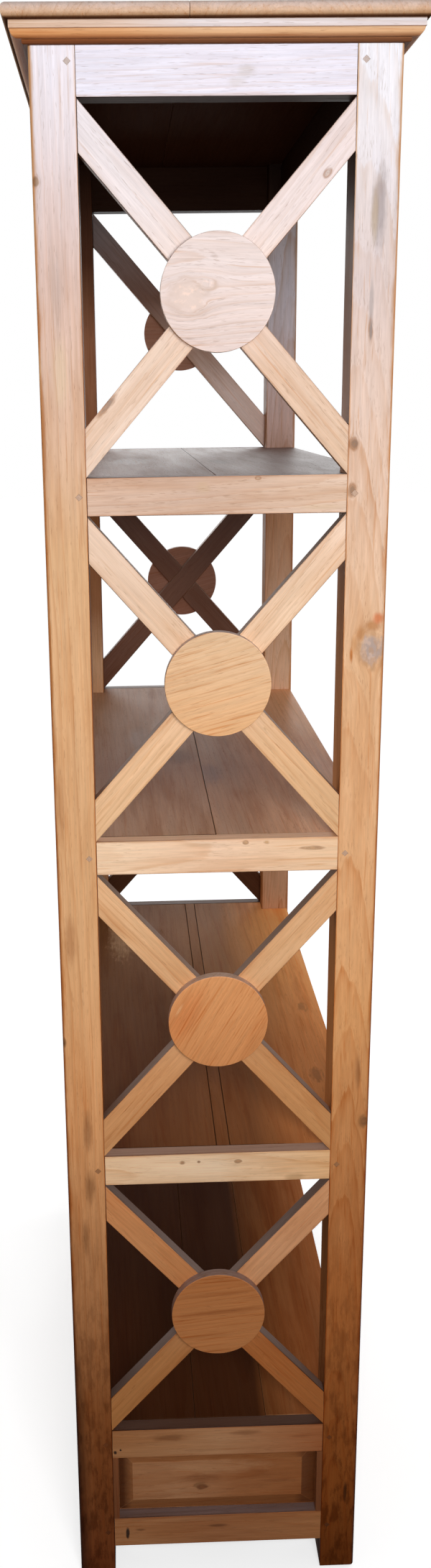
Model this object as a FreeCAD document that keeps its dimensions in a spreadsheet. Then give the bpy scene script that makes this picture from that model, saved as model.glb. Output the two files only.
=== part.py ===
import FreeCAD, Part
import math
import os
from types import SimpleNamespace

import Sketcher

os.makedirs("parts", exist_ok=True)

# A tall open bookcase of pegged frames, seen from its right end at +X.
# Origin on the floor in the middle, X along the length, Y front to back, Z up.
# The right end is modelled and the left end is its mirror image.

# Driving dimensions, in millimetres.
DIMENSIONS = {
    # Frame, over the outer faces of the posts
    "frame_length": 840,
    "frame_depth": 400,
    "post_side": 50,
    "post_arris": 6,
    "foot_bevel": 4,
    # Levels, from the floor up
    "foot_height": 54,
    "lower_plinth_rail": 50,
    "plinth_opening": 106,
    "upper_plinth_rail": 48,
    "bay_height": 398,
    "shelf_rail": 44,
    "top_rail_show": 50,
    # Rails and their tenons
    "rail_thickness": 30,
    "rail_strip": 18,
    "tenon_thickness": 10,
    "tenon_length": 22,
    "tenon_shoulder": 6,
    "mortise_spare": 1,
    "joint_clearance": 0.1,
    # Pegs through the tenons of the end rails
    "peg_diagonal": 8,
    "peg_length": 28,
    "peg_from_shoulder": 9,
    "peg_clearance": 0.2,
    # Shelf boards
    "shelf_thickness": 18,
    "shelf_inset": 2,
    "board_gap": 0.6,
    "board_clearance": 0.5,
    "middle_joint": 0,
    "slip_width": 18,
    "bottom_front_joint": 31,
    "bottom_back_joint": 70,
    # Crossed braces
    "brace_width": 36,
    "brace_thickness": 18,
    "brace_tenon_thickness": 8,
    "brace_tenon_length": 10,
    "brace_tenon_shoulder": 8,
    # Turned discs over the crossings
    "disc_diameter": 127,
    "disc_thickness": 12,
    "disc_bevel": 2.5,
    "pin_side": 14,
    "pin_length": 12,
    # Fielded panels of the plinth
    "field_setback": 11,
    "tongue_setback": 16,
    "tongue_thickness": 7,
    "tongue_entry": 5.5,
    "groove_depth": 6,
    "field_margin": 20,
    "stop_width": 8,
    # Top boards and cornice
    "top_thickness": 16,
    "top_overhang": 25.5,
    "top_joint": 30,
    "bead_height": 4,
    "bead_overhang": 5.5,
    "bead_rounding": 1.7,
    "ovolo_height": 8,
    "ovolo_overhang": 17,
    "ovolo_rounding": 7.7,
    "fillet_height": 8,
    "fillet_overhang": 18,
    # How far every cutting shape runs past the faces that it cuts
    "overrun": 2,
}

# Share of the top's thickness that each half of its round edge takes
bullnose_share = 0.47

# Places closer than this share of the frame's length count as the same
same_place_share = 1e-6

doc = FreeCAD.newDocument("bookcase")
sheet = doc.addObject("Spreadsheet::Sheet", "Sizes")


class Length:
    """A length that carries its formula on the sheet together with its value."""

    def __init__(self, formula, value):
        self.formula = formula
        self.value = value

    def __add__(self, other):
        other = as_length(other)
        return Length(f"({self.formula} + {other.formula})", self.value + other.value)

    def __sub__(self, other):
        other = as_length(other)
        return Length(f"({self.formula} - {other.formula})", self.value - other.value)

    def __neg__(self):
        return Length(f"(0 - {self.formula})", -self.value)

    def __mul__(self, factor):
        return Length(f"({self.formula} * {factor})", self.value * factor)

    def __truediv__(self, divisor):
        return Length(f"({self.formula} / {divisor})", self.value / divisor)

    def in_ratio(self, upper, lower):
        """This length times the ratio of two others."""
        formula = f"({self.formula} * {upper.formula} / {lower.formula})"
        return Length(formula, self.value * upper.value / lower.value)


def as_length(number):
    """A plain zero, or a length as it is."""
    return number if isinstance(number, Length) else Length(str(number), number)


size = SimpleNamespace()
for row, (name, number) in enumerate(DIMENSIONS.items(), start=1):
    sheet.set(f"A{row}", name)
    sheet.set(f"B{row}", str(number))
    sheet.setAlias(f"B{row}", name)
    setattr(size, name, Length(f"Sizes.{name}", number))
doc.recompute()


# Places that several pieces share

half_length = size.frame_length / 2
half_depth = size.frame_depth / 2
inner_length = half_length - size.post_side
inner_depth = half_depth - size.post_side
cornice_height = size.bead_height + size.ovolo_height + size.fillet_height
end_tenon_outer = half_length - (size.rail_thickness - size.tenon_thickness) / 2
end_tenon_inner = end_tenon_outer - size.tenon_thickness
long_tenon_outer = half_depth - size.shelf_inset - (size.rail_thickness - size.tenon_thickness) / 2
long_tenon_inner = long_tenon_outer - size.tenon_thickness
shelf_end = half_length - size.rail_strip
brace_inner = half_length - size.brace_thickness
brace_middle = half_length - size.brace_thickness / 2
peg_reach = size.peg_diagonal / 2
peg_hole_reach = peg_reach + size.peg_clearance
peg_from_middle = inner_depth + size.peg_from_shoulder
pin_half = size.pin_side / 2
pin_hole_half = pin_half + size.joint_clearance


def rail_level(name, bottom, height, carries_shelf=False, groove=None):
    """One level of rails: where it starts, how high its rails are and what they hold."""
    long_height = height - size.shelf_thickness if carries_shelf else height
    return SimpleNamespace(
        name=name,
        bottom=bottom,
        height=height,
        long_height=long_height,
        carries_shelf=carries_shelf,
        groove=groove,
    )


def stack_of_levels():
    """The six levels of rails, from the lower plinth rail to the top rail."""
    lower = size.foot_height
    upper = lower + size.lower_plinth_rail + size.plinth_opening
    levels = [
        rail_level("lower_plinth", lower, size.lower_plinth_rail, groove="top"),
        rail_level("upper_plinth", upper, size.upper_plinth_rail, True, groove="underside"),
    ]
    bottom = upper + size.upper_plinth_rail + size.bay_height
    for shelf in (3, 2, 1):
        levels.append(rail_level(f"shelf_{shelf}", bottom, size.shelf_rail, True))
        bottom = bottom + size.shelf_rail + size.bay_height
    levels.append(rail_level("top", bottom, size.top_rail_show + cornice_height))
    return levels


levels = stack_of_levels()
frame_top = levels[-1].bottom + levels[-1].height
panel_bottom = levels[0].bottom + levels[0].height
bay_bottoms = {
    4: levels[1].bottom + levels[1].height,
    3: levels[2].bottom + levels[2].height,
    2: levels[3].bottom + levels[3].height,
    1: levels[4].bottom + levels[4].height,
}


# Shaping a piece

# The plane square to each axis, and the way its sketches face along that axis
PLANES = {"x": ("YZ_Plane", 1), "y": ("XZ_Plane", -1), "z": ("XY_Plane", 1)}

nodes = []


def new_body(label):
    """An empty piece; its label is the name of its file."""
    body = doc.addObject("PartDesign::Body", label)
    body.Label = label
    return body


def bind(thing, path, value):
    """Ties one property to the sheet."""
    thing.setExpression(path, as_length(value).formula)


def place(thing, x=0, y=0, z=0, turn=0):
    """Puts a piece at its place, turned about the vertical by whole degrees."""
    upright = FreeCAD.Vector(0, 0, 1)
    thing.Placement = FreeCAD.Placement(FreeCAD.Vector(), FreeCAD.Rotation(upright, turn))
    bind(thing, "Placement.Base.x", x)
    bind(thing, "Placement.Base.y", y)
    bind(thing, "Placement.Base.z", z)


def rectangle(left, right, bottom, top):
    """Corners of an upright rectangle, anticlockwise."""
    return [(left, bottom), (right, bottom), (right, top), (left, top)]


def diamond(across, up, reach):
    """Corners of a square that stands on a corner, given the distance to its corners."""
    return [(reach + across, up), (across, reach + up), (-reach + across, up), (across, -reach + up)]


def draw_polygon(sketch, corners):
    """Closed outline of straight sides, each corner held by its own two sizes."""
    first = sketch.GeometryCount
    count = len(corners)
    lengths = [(as_length(across), as_length(up)) for across, up in corners]
    points = [FreeCAD.Vector(across.value, up.value, 0) for across, up in lengths]
    for i in range(count):
        sketch.addGeometry(Part.LineSegment(points[i], points[(i + 1) % count]), False)
    for i in range(count):
        following = first + (i + 1) % count
        sketch.addConstraint(Sketcher.Constraint("Coincident", first + i, 2, following, 1))
    for i, (across, up) in enumerate(lengths):
        hold_point(sketch, first + i, 1, across, up)


def hold_point(sketch, geometry, end, across, up):
    """Holds one point of a sketch at its two distances from the sketch's origin."""
    for kind, distance in (("DistanceX", across), ("DistanceY", up)):
        constraint = Sketcher.Constraint(kind, -1, 1, geometry, end, distance.value)
        held = sketch.addConstraint(constraint)
        bind(sketch, f"Constraints[{held}]", distance)


def sketch_across(body, name, axis, start, outlines):
    """Sketch square to an axis, at a place along it, with closed outlines."""
    role, facing = PLANES[axis]
    plane = next(item for item in body.Origin.OriginFeatures if item.Role == role)
    sketch = body.newObject("Sketcher::SketchObject", name + "_outline")
    sketch.AttachmentSupport = [(plane, "")]
    sketch.MapMode = "FlatFace"
    bind(sketch, "AttachmentOffset.Base.z", as_length(start) * facing)
    for outline in outlines:
        draw_polygon(sketch, outline)
    return sketch


def extrude(kind, body, name, axis, start, end, outlines):
    """Pad or pocket of the outlines from one place on an axis to another."""
    start = as_length(start)
    end = as_length(end)
    rising = end.value > start.value
    facing_up = PLANES[axis][1] > 0
    feature_class = "PartDesign::" + kind
    sketch = sketch_across(body, name, axis, start, outlines)
    feature = body.newObject(feature_class, name)
    feature.Profile = sketch
    bind(feature, "Length", end - start if rising else start - end)
    along_sketch = rising == facing_up
    feature.Reversed = along_sketch if kind == "Pocket" else not along_sketch
    return feature


def add(body, name, axis, start, end, outlines):
    """Adds wood between two places on an axis."""
    return extrude("Pad", body, name, axis, start, end, outlines)


def cut(body, name, axis, start, end, outlines):
    """Cuts wood away between two places on an axis."""
    return extrude("Pocket", body, name, axis, start, end, outlines)


def same(one, other):
    """Whether two places are the same, within the model's tolerance."""
    return abs(one - other) < size.frame_length.value * same_place_share


def dress_edges(kind, body, name, picked):
    """Fillet or chamfer on those edges of the piece so far that the given test picks."""
    doc.recompute()
    base = body.Tip
    numbered = enumerate(base.Shape.Edges, start=1)
    edges = [f"Edge{i}" for i, edge in numbered if picked(edge.BoundBox)]
    feature_class = "PartDesign::" + kind
    feature = body.newObject(feature_class, name)
    feature.Base = (base, edges)
    return feature


def round_edges(body, name, radius, picked):
    """Rounds the picked edges over."""
    bind(dress_edges("Fillet", body, name, picked), "Radius", radius)


def bevel_edges(body, name, width, picked):
    """Bevels the picked edges."""
    bind(dress_edges("Chamfer", body, name, picked), "Size", width)


def mirror_image(label, source, normal):
    """The opposite hand of a piece, on the other side of the middle of the bookcase."""
    twin = doc.addObject("Part::Mirroring", label)
    twin.Label = label
    twin.Source = source
    twin.Normal = normal
    return twin


def group(label, pieces):
    """Like pieces that share one node, each still a solid of its own."""
    joined = doc.addObject("Part::Compound", label)
    joined.Label = label
    joined.Links = pieces
    return joined


along_length = FreeCAD.Vector(1, 0, 0)
along_depth = FreeCAD.Vector(0, 1, 0)


# Posts
# Four square posts of the full height, the outer arris rounded and the foot bevelled.
# Their inner sides hold the mortises of the rails and braces, their end faces the pegs.

def brace_drop():
    """Height of a brace's upright end, so that it fills its bay from corner to corner."""
    wide = inner_depth * 2
    tall = size.bay_height
    width = size.brace_width
    diagonal = f"sqrt({wide.formula}^2 + {tall.formula}^2)"
    lean = f"atan({wide.formula} / {tall.formula})"
    slope = f"(acos({width.formula} / {diagonal}) - {lean})"
    diagonal_value = math.hypot(wide.value, tall.value)
    slope_value = math.acos(width.value / diagonal_value) - math.atan(wide.value / tall.value)
    return Length(f"({width.formula} / cos({slope}))", width.value / math.cos(slope_value))


drop = brace_drop()


def widened(low, high):
    """The two sides of a mortise, clear of the tenon between them."""
    return low - size.joint_clearance, high + size.joint_clearance


def post():
    """The back right post, with every mortise and peg hole."""
    body = new_body("post_back_right")
    square = rectangle(inner_length, half_length, inner_depth, half_depth)
    add(body, "post", "z", 0, frame_top, [square])

    def outer_arris(box):
        return same(box.XMin, half_length.value) and same(box.YMin, half_depth.value)

    def underside(box):
        return same(box.ZMax, 0)

    round_edges(body, "arris", size.post_arris, outer_arris)
    bevel_edges(body, "foot", size.foot_bevel, underside)

    end_mortises = []
    long_mortises = []
    pegs = []
    for level in levels:
        low, high = widened(
            level.bottom + size.tenon_shoulder,
            level.bottom + level.height - size.tenon_shoulder,
        )
        inner, outer = widened(end_tenon_inner, end_tenon_outer)
        end_mortises.append(rectangle(inner, outer, low, high))
        middle = level.bottom + level.height / 2
        pegs.append(diamond(peg_from_middle, middle, peg_hole_reach))

        low, high = widened(
            level.bottom + size.tenon_shoulder,
            level.bottom + level.long_height - size.tenon_shoulder,
        )
        inner, outer = widened(long_tenon_inner, long_tenon_outer)
        long_mortises.append(rectangle(inner, outer, low, high))

    brace_mortises = []
    inner, outer = widened(
        brace_middle - size.brace_tenon_thickness / 2,
        brace_middle + size.brace_tenon_thickness / 2,
    )
    for bay_bottom in bay_bottoms.values():
        for end_bottom in (bay_bottom, bay_bottom + size.bay_height - drop):
            low, high = widened(
                end_bottom + size.brace_tenon_shoulder,
                end_bottom + drop - size.brace_tenon_shoulder,
            )
            brace_mortises.append(rectangle(inner, outer, low, high))

    mortise = size.tenon_length + size.mortise_spare
    shallow = size.brace_tenon_length + size.mortise_spare
    peg_depth = size.peg_length + size.mortise_spare
    cut(body, "end_mortises", "y", inner_depth, inner_depth + mortise, end_mortises)
    cut(body, "long_mortises", "x", inner_length, inner_length + mortise, long_mortises)
    cut(body, "brace_mortises", "y", inner_depth, inner_depth + shallow, brace_mortises)
    cut(body, "peg_holes", "x", half_length, half_length - peg_depth, pegs)
    place(body)
    return body


back_right = post()
front_right = mirror_image("post_front_right", back_right, along_depth)
nodes += [back_right, front_right]
nodes += [mirror_image("post_back_left", back_right, along_length)]
nodes += [mirror_image("post_front_left", front_right, along_length)]


# End rails
# One at every level of each narrow end, flush with the posts and pegged into them.
# Those that carry a shelf have a rebate for its boards, which leaves a strip of rail showing.

def panel_groove(section_middle, level):
    """Section of the groove that holds a panel's tongue, in the rail above or below it."""
    half = size.tongue_thickness / 2 + size.joint_clearance
    if level.groove == "top":
        low, high = level.height - size.groove_depth, level.height + size.overrun
    else:
        low, high = -size.overrun, size.groove_depth
    return rectangle(section_middle - half, section_middle + half, low, high)


def end_rail(level):
    """An end rail in its place, its underside at the height of its level."""
    body = new_body(f"right_{level.name}_rail")
    reach = inner_depth + size.tenon_length
    inner_face = half_length - size.rail_thickness
    section = rectangle(inner_face, half_length, 0, level.height)
    tenon = rectangle(
        end_tenon_inner,
        end_tenon_outer,
        size.tenon_shoulder,
        level.height - size.tenon_shoulder,
    )
    add(body, "rail", "y", -inner_depth, inner_depth, [section])
    add(body, "tenons", "y", -reach, reach, [tenon])
    if level.carries_shelf:
        seat = level.height - size.shelf_thickness
        past = level.height + size.overrun
        rebate = rectangle(inner_face - size.overrun, shelf_end, seat, past)
        cut(body, "rebate", "y", -inner_depth, inner_depth, [rebate])
    if level.groove:
        tongue_middle = half_length - size.tongue_setback - size.tongue_thickness / 2
        groove = panel_groove(tongue_middle, level)
        cut(body, "groove", "y", -inner_depth, inner_depth, [groove])
    holes = []
    for across in (-peg_from_middle, peg_from_middle):
        holes.append(diamond(across, level.height / 2, peg_hole_reach))
    cut(body, "peg_holes", "x", half_length, inner_face, holes)
    place(body, z=level.bottom)
    return body


for level in levels:
    rail = end_rail(level)
    nodes += [rail, mirror_image(f"left_{level.name}_rail", rail, along_length)]


# Long rails
# A front and a back rail at every level. Where there is a shelf they run under its
# boards, set in a little; at the top and at the floor they are flush with the posts.

def long_rails(level):
    """The back rail of a level and its mirror image at the front, in one node."""
    body = new_body(f"back_{level.name}_rail")
    reach = inner_length + size.tenon_length
    outer_face = half_depth - size.shelf_inset if level.carries_shelf else half_depth
    inner_face = outer_face - size.rail_thickness
    section = rectangle(inner_face, outer_face, 0, level.long_height)
    tenon = rectangle(
        long_tenon_inner,
        long_tenon_outer,
        size.tenon_shoulder,
        level.long_height - size.tenon_shoulder,
    )
    add(body, "rail", "x", -inner_length, inner_length, [section])
    add(body, "tenons", "x", -reach, reach, [tenon])
    if level.groove:
        tongue_middle = half_depth - size.tongue_setback - size.tongue_thickness / 2
        groove = panel_groove(tongue_middle, level)
        cut(body, "groove", "x", -inner_length, inner_length, [groove])
    place(body, z=level.bottom)
    front = mirror_image(f"front_{level.name}_rail", body, along_depth)
    return group(f"long_{level.name}_rails", [body, front])


for level in levels:
    nodes += [long_rails(level)]


# Crossed braces
# Two flat arms in each open bay of the ends, corner to corner, flush with the frame's
# outer face. They are halved where they cross and have stub tenons in the posts.

def brace_outline(side, growth=0):
    """Face of a brace that rises towards +Y (side 1) or -Y (side -1), in its bay."""
    half_bay = size.bay_height / 2
    more = as_length(growth).in_ratio(drop, size.brace_width)
    corners = [
        (-inner_depth, -half_bay - more),
        (inner_depth, half_bay - drop - more),
        (inner_depth, half_bay + more),
        (-inner_depth, drop - half_bay + more),
    ]
    return [(across * side, up) for across, up in corners]


def brace(bay, side):
    """One brace of a bay at the right end, with its half of the crossing."""
    way = "back" if side > 0 else "front"
    body = new_body(f"right_brace_{bay}_rising_{way}")
    half_bay = size.bay_height / 2
    add(body, "arm", "x", half_length, brace_inner, [brace_outline(side)])
    tenon_end = inner_depth + size.brace_tenon_length
    low = size.brace_tenon_shoulder - half_bay
    high = drop - size.brace_tenon_shoulder - half_bay
    foot = rectangle(-tenon_end * side, -inner_depth * side, low, high)
    head = rectangle(inner_depth * side, tenon_end * side, -high, -low)
    half_tenon = size.brace_tenon_thickness / 2
    add(body, "tenons", "x", brace_middle + half_tenon, brace_middle - half_tenon, [foot, head])
    crossing = brace_outline(-side, size.joint_clearance)
    open_face = half_length if side > 0 else brace_inner
    cut(body, "halving", "x", open_face, brace_middle, [crossing])
    pin = rectangle(-pin_hole_half, pin_hole_half, -pin_hole_half, pin_hole_half)
    hole_bottom = half_length - size.pin_length - size.mortise_spare
    cut(body, "pin_hole", "x", half_length, hole_bottom, [pin])
    place(body, z=bay_bottoms[bay] + half_bay)
    return body


for bay in (1, 2, 3, 4):
    for side in (1, -1):
        arm = brace(bay, side)
        twin_label = arm.Label.replace("right", "left")
        nodes += [arm, mirror_image(twin_label, arm, along_length)]


# Turned discs
# A plain turned disc is planted over each crossing, its front edge bevelled all round.
# The square pin left on its back goes through the halved joint and locks it.

def disc(bay):
    """The disc of a bay at the right end, turned about its own axis."""
    body = new_body(f"right_disc_{bay}")
    front = half_length + size.disc_thickness
    rim = size.disc_diameter / 2
    profile = [
        (half_length, 0),
        (front, 0),
        (front, rim - size.disc_bevel),
        (front - size.disc_bevel, rim),
        (half_length, rim),
    ]
    sketch = sketch_across(body, "turning", "y", 0, [profile])
    turned = body.newObject("PartDesign::Revolution", "turning")
    turned.Profile = sketch
    axis = next(item for item in body.Origin.OriginFeatures if item.Role == "X_Axis")
    turned.ReferenceAxis = (axis, [""])
    pin = rectangle(-pin_half, pin_half, -pin_half, pin_half)
    add(body, "pin", "x", half_length, half_length - size.pin_length, [pin])
    place(body, z=bay_bottoms[bay] + size.bay_height / 2)
    return body


for bay in (1, 2, 3, 4):
    right_disc = disc(bay)
    nodes += [right_disc, mirror_image(f"left_disc_{bay}", right_disc, along_length)]


# Fielded panels
# Solid panels close the plinth. A raised field with wide bevels, mitred at the corners,
# stands before a tongue that runs in grooves of the rails above and below.

def fielded_panel(label, half_width):
    """A panel facing +Y with the frame's face at its own zero, ready to be turned."""
    body = new_body(label)
    top = size.plinth_opening
    tongue_front = -size.tongue_setback
    tongue_back = tongue_front - size.tongue_thickness
    side = half_width - size.board_clearance
    tongue = rectangle(-side, side, -size.tongue_entry, top + size.tongue_entry)
    add(body, "tongue", "y", tongue_back, tongue_front, [tongue])
    reach = half_width - size.stop_width
    margin = size.field_margin
    field = body.newObject("PartDesign::AdditiveWedge", "field")
    bind(field, "Ymin", tongue_front)
    bind(field, "Ymax", -size.field_setback)
    bind(field, "Xmin", -reach)
    bind(field, "Xmax", reach)
    bind(field, "Zmin", 0)
    bind(field, "Zmax", top)
    bind(field, "X2min", margin - reach)
    bind(field, "X2max", reach - margin)
    bind(field, "Z2min", margin)
    bind(field, "Z2max", top - margin)
    return body


def panels():
    """The four panels, each turned to face outwards from its side of the plinth."""
    back = fielded_panel("back_plinth_panel", inner_length)
    place(back, y=half_depth, z=panel_bottom)
    left = fielded_panel("left_plinth_panel", inner_depth)
    place(left, x=-half_length, z=panel_bottom, turn=90)
    front = fielded_panel("front_plinth_panel", inner_length)
    place(front, y=-half_depth, z=panel_bottom, turn=180)
    right = fielded_panel("right_plinth_panel", inner_depth)
    place(right, x=half_length, z=panel_bottom, turn=270)
    return [back, left, front, right]


nodes += panels()


# Panel stops
# Narrow upright strips beside the posts, glued in front of the panels' ends.

def stop_strips(label, x_low, x_high, y_low, y_high):
    """One strip at each of the four posts, between the plinth rails."""
    body = new_body(label + "_back_right")
    footprint = rectangle(x_low, x_high, y_low, y_high)
    add(body, "strip", "z", 0, size.plinth_opening, [footprint])
    place(body, z=panel_bottom)
    front = mirror_image(label + "_front_right", body, along_depth)
    back_left = mirror_image(label + "_back_left", body, along_length)
    front_left = mirror_image(label + "_front_left", front, along_length)
    return [body, front, back_left, front_left]


def panel_stops():
    """The two strips of every panel, eight alike in one node."""
    setback = size.tongue_setback
    width = size.stop_width
    on_ends = stop_strips(
        "end_stop", half_length - setback, half_length, inner_depth - width, inner_depth
    )
    on_sides = stop_strips(
        "side_stop", inner_length - width, inner_length, half_depth - setback, half_depth
    )
    return group("panel_stops", on_ends + on_sides)


nodes += [panel_stops()]


# Shelf boards
# Wide boards lie side by side, let into the rebates of the end rails and resting on the
# long rails. The outer boards are notched round the posts.

def shelf_board(name, near, far, outer_side):
    """A board between two joint lines; outer_side is where it runs out past the posts."""
    body = new_body(name)
    end = shelf_end - size.board_clearance
    waist = inner_length - size.board_clearance
    notch = (inner_depth - size.board_clearance) * outer_side
    if outer_side:
        inner_edge, outer_edge = (far, near) if outer_side < 0 else (near, far)
        outline = [
            (-end, inner_edge),
            (end, inner_edge),
            (end, notch),
            (waist, notch),
            (waist, outer_edge),
            (-waist, outer_edge),
            (-waist, notch),
            (-end, notch),
        ]
    else:
        outline = rectangle(-end, end, near, far)
    add(body, "board", "z", 0, size.shelf_thickness, [outline])
    return body


def shelf(label, level, joints):
    """The boards of one shelf, from the front edge over its joints to the back edge."""
    edge = half_depth - size.shelf_inset
    lines = [-edge] + joints + [edge]
    last = len(lines) - 2
    boards = []
    for i in range(last + 1):
        near = lines[i] + (size.board_gap / 2 if i > 0 else 0)
        far = lines[i + 1] - (size.board_gap / 2 if i < last else 0)
        outer_side = -1 if i == 0 else int(i == last)
        board = shelf_board(f"{label}_{i + 1}", near, far, outer_side)
        place(board, z=level.bottom + level.height - size.shelf_thickness)
        boards.append(board)
    return group(label, boards)


by_name = {level.name: level for level in levels}
middle = size.middle_joint
bottom_joints = [-size.bottom_front_joint, size.bottom_back_joint]
nodes += [
    shelf("shelf_boards_1", by_name["shelf_1"], [middle]),
    shelf("shelf_boards_2", by_name["shelf_2"], [middle]),
    shelf("shelf_boards_3", by_name["shelf_3"], [middle, middle + size.slip_width]),
    shelf("bottom_boards", by_name["upper_plinth"], bottom_joints),
]


# Top boards
# Two boards over the whole frame, with a full round edge on their outer sides.

def top_board(label, outer_side):
    """One top board, from the joint to its overhanging long edge."""
    body = new_body(label)
    end = half_length + size.top_overhang
    outer = (half_depth + size.top_overhang) * outer_side
    joint = -size.top_joint + size.board_gap / 2 * outer_side
    low, high = (outer, joint) if outer_side < 0 else (joint, outer)
    add(body, "board", "z", 0, size.top_thickness, [rectangle(-end, end, low, high)])

    def outer_edge(box):
        level_edge = same(box.ZMin, box.ZMax)
        on_end = same(box.XMin, box.XMax) and same(abs(box.XMin), end.value)
        on_side = same(box.YMin, box.YMax) and same(box.YMin, outer.value)
        return level_edge and (on_end or on_side)

    round_edges(body, "round_edge", size.top_thickness * bullnose_share, outer_edge)
    place(body, z=frame_top)
    return body


nodes += [top_board("front_top_board", -1), top_board("back_top_board", 1)]


# Cornice
# Moulding planted on the top rails under the overhang: a bead, an ovolo and a fillet,
# from below. Its four lengths are mitred at the corners.

def cornice_length(label, axis, face, reach):
    """A length of moulding that runs along an axis on the face of the frame, both ends mitred."""
    body = new_body(label)
    bead_top = size.bead_height
    ovolo_top = bead_top + size.ovolo_height
    profile = [
        (face, 0),
        (face + size.bead_overhang, 0),
        (face + size.bead_overhang, bead_top),
        (face + size.ovolo_overhang, bead_top),
        (face + size.ovolo_overhang, ovolo_top),
        (face + size.fillet_overhang, ovolo_top),
        (face + size.fillet_overhang, cornice_height),
        (face, cornice_height),
    ]
    tip = reach + size.fillet_overhang
    add(body, "moulding", axis, -tip, tip, [profile])
    past = size.fillet_overhang + size.overrun
    mitres = []
    for side in (1, -1):
        corner = [(reach * side, face)]
        corner += [((reach + past) * side, face), ((reach + past) * side, face + past)]
        mitres.append([(across, up) if axis == "x" else (up, across) for across, up in corner])
    cut(body, "mitres", "z", 0, cornice_height, mitres)

    def across_profile(box):
        return (box.XMin, box.XMax) if axis == "y" else (box.YMin, box.YMax)

    def edge_at(overhang, height):
        outer = (face + overhang).value

        def picked(box):
            near, far = across_profile(box)
            on_line = same(near, outer) and same(far, outer)
            return on_line and same(box.ZMin, height) and same(box.ZMax, height)

        return picked

    lower_edge = edge_at(size.ovolo_overhang, bead_top.value)
    bead_edge = edge_at(size.bead_overhang, 0)
    round_edges(body, "ovolo", size.ovolo_rounding, lower_edge)
    round_edges(body, "bead", size.bead_rounding, bead_edge)
    place(body, z=frame_top - cornice_height)
    return body


back_length = cornice_length("back_cornice", "x", half_depth, half_length)
front_length = mirror_image("front_cornice", back_length, along_depth)
right_length = cornice_length("right_cornice", "y", half_length, half_depth)
left_length = mirror_image("left_cornice", right_length, along_length)
nodes += [
    group("long_cornice_mouldings", [back_length, front_length]),
    group("end_cornice_mouldings", [right_length, left_length]),
]


# Pegs
# One through the tenon at each end of every end rail, whittled square and driven in
# cornerwise, flush with the face of the post.

def peg(level):
    """The peg of a level in the back right post."""
    body = new_body(f"{level.name}_peg")
    section = diamond(peg_from_middle, 0, peg_reach)
    add(body, "peg", "x", half_length, half_length - size.peg_length, [section])
    place(body, z=level.bottom + level.height / 2)
    return body


def all_pegs():
    """The pegs of the back right post and their mirror images in the other three."""
    corner = group("back_right_pegs", [peg(level) for level in levels])
    front = mirror_image("front_right_pegs", corner, along_depth)
    back_left = mirror_image("back_left_pegs", corner, along_length)
    front_left = mirror_image("front_left_pegs", front, along_length)
    return group("pegs", [corner, front, back_left, front_left])


nodes += [all_pegs()]


# Checking and writing

def check_model():
    """Stops on a failed object, an empty or broken piece, or a cut that removes nothing."""
    for item in doc.Objects:
        if "Invalid" in item.State or "Error" in item.State:
            raise RuntimeError(f"{item.Label} failed: {item.State}")
        if item.TypeId == "PartDesign::Pocket":
            if item.Shape.Volume >= item.BaseFeature.Shape.Volume:
                raise RuntimeError(f"{item.Label} cuts nothing")
    for node in nodes:
        if node.Shape.isNull() or not node.Shape.isValid():
            raise RuntimeError(f"{node.Label} has no valid shape")


def write_parts():
    """Writes every node to its own file and prints what it holds."""
    for node in nodes:
        node.Shape.exportStep(os.path.join("parts", node.Label + ".step"))
        print(node.Label, len(node.Shape.Solids), round(node.Shape.Volume))
    whole = Part.makeCompound([node.Shape for node in nodes]).BoundBox
    print("nodes", len(nodes), "size", whole.XLength, whole.YLength, whole.ZLength)


doc.recompute()
check_model()
write_parts()
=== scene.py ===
import math

import bpy
from mathutils import Matrix, Vector


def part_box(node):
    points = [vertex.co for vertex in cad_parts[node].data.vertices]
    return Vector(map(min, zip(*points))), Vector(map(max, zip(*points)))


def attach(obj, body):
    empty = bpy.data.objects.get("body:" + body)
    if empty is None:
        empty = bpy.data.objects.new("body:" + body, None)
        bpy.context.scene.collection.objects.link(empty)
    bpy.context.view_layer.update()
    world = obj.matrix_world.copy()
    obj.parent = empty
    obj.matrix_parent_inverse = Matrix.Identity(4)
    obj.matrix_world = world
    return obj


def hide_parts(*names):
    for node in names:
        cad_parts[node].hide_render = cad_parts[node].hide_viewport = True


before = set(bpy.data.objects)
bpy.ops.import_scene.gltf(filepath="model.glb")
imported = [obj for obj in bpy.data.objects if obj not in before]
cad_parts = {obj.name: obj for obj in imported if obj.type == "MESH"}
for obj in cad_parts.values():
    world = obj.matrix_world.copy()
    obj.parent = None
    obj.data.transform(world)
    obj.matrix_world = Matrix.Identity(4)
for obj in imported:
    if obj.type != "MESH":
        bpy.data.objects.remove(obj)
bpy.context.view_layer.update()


# Posts
# Four square posts of honey-coloured hardwood, each cut in one length from floor to
# cornice. The outer arris is rounded over, the others are only eased with a plane. The
# face is paler towards the cornice, partly bleached and partly a painted highlight, and
# darker towards the feet, partly from mopping and dirt and partly painted shade.

UP = Vector((0, 0, 1))
RIGHT_END = Vector((1, 0, 0))
LEFT_END = Vector((-1, 0, 0))
FRONT = Vector((0, -1, 0))
BACK = Vector((0, 1, 0))
ENDS = {"right": RIGHT_END, "left": LEFT_END}

ARRIS_EASE = 0.0011                      # how far a planed arris is taken back
ARRIS_STEPS = 3
SHARPEST_SMOOTH = math.radians(30)
FLAT_WITHIN = math.radians(0.5)
MERGE_WITHIN = 0.00001
SHORTEST_EASED = 0.025                   # shorter edges lie inside the joints
POST_HALF = 0.025
RING_SPACING = 0.0042
LOG_STEP = 1.37                          # how far along its log each piece is cut from the last

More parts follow.
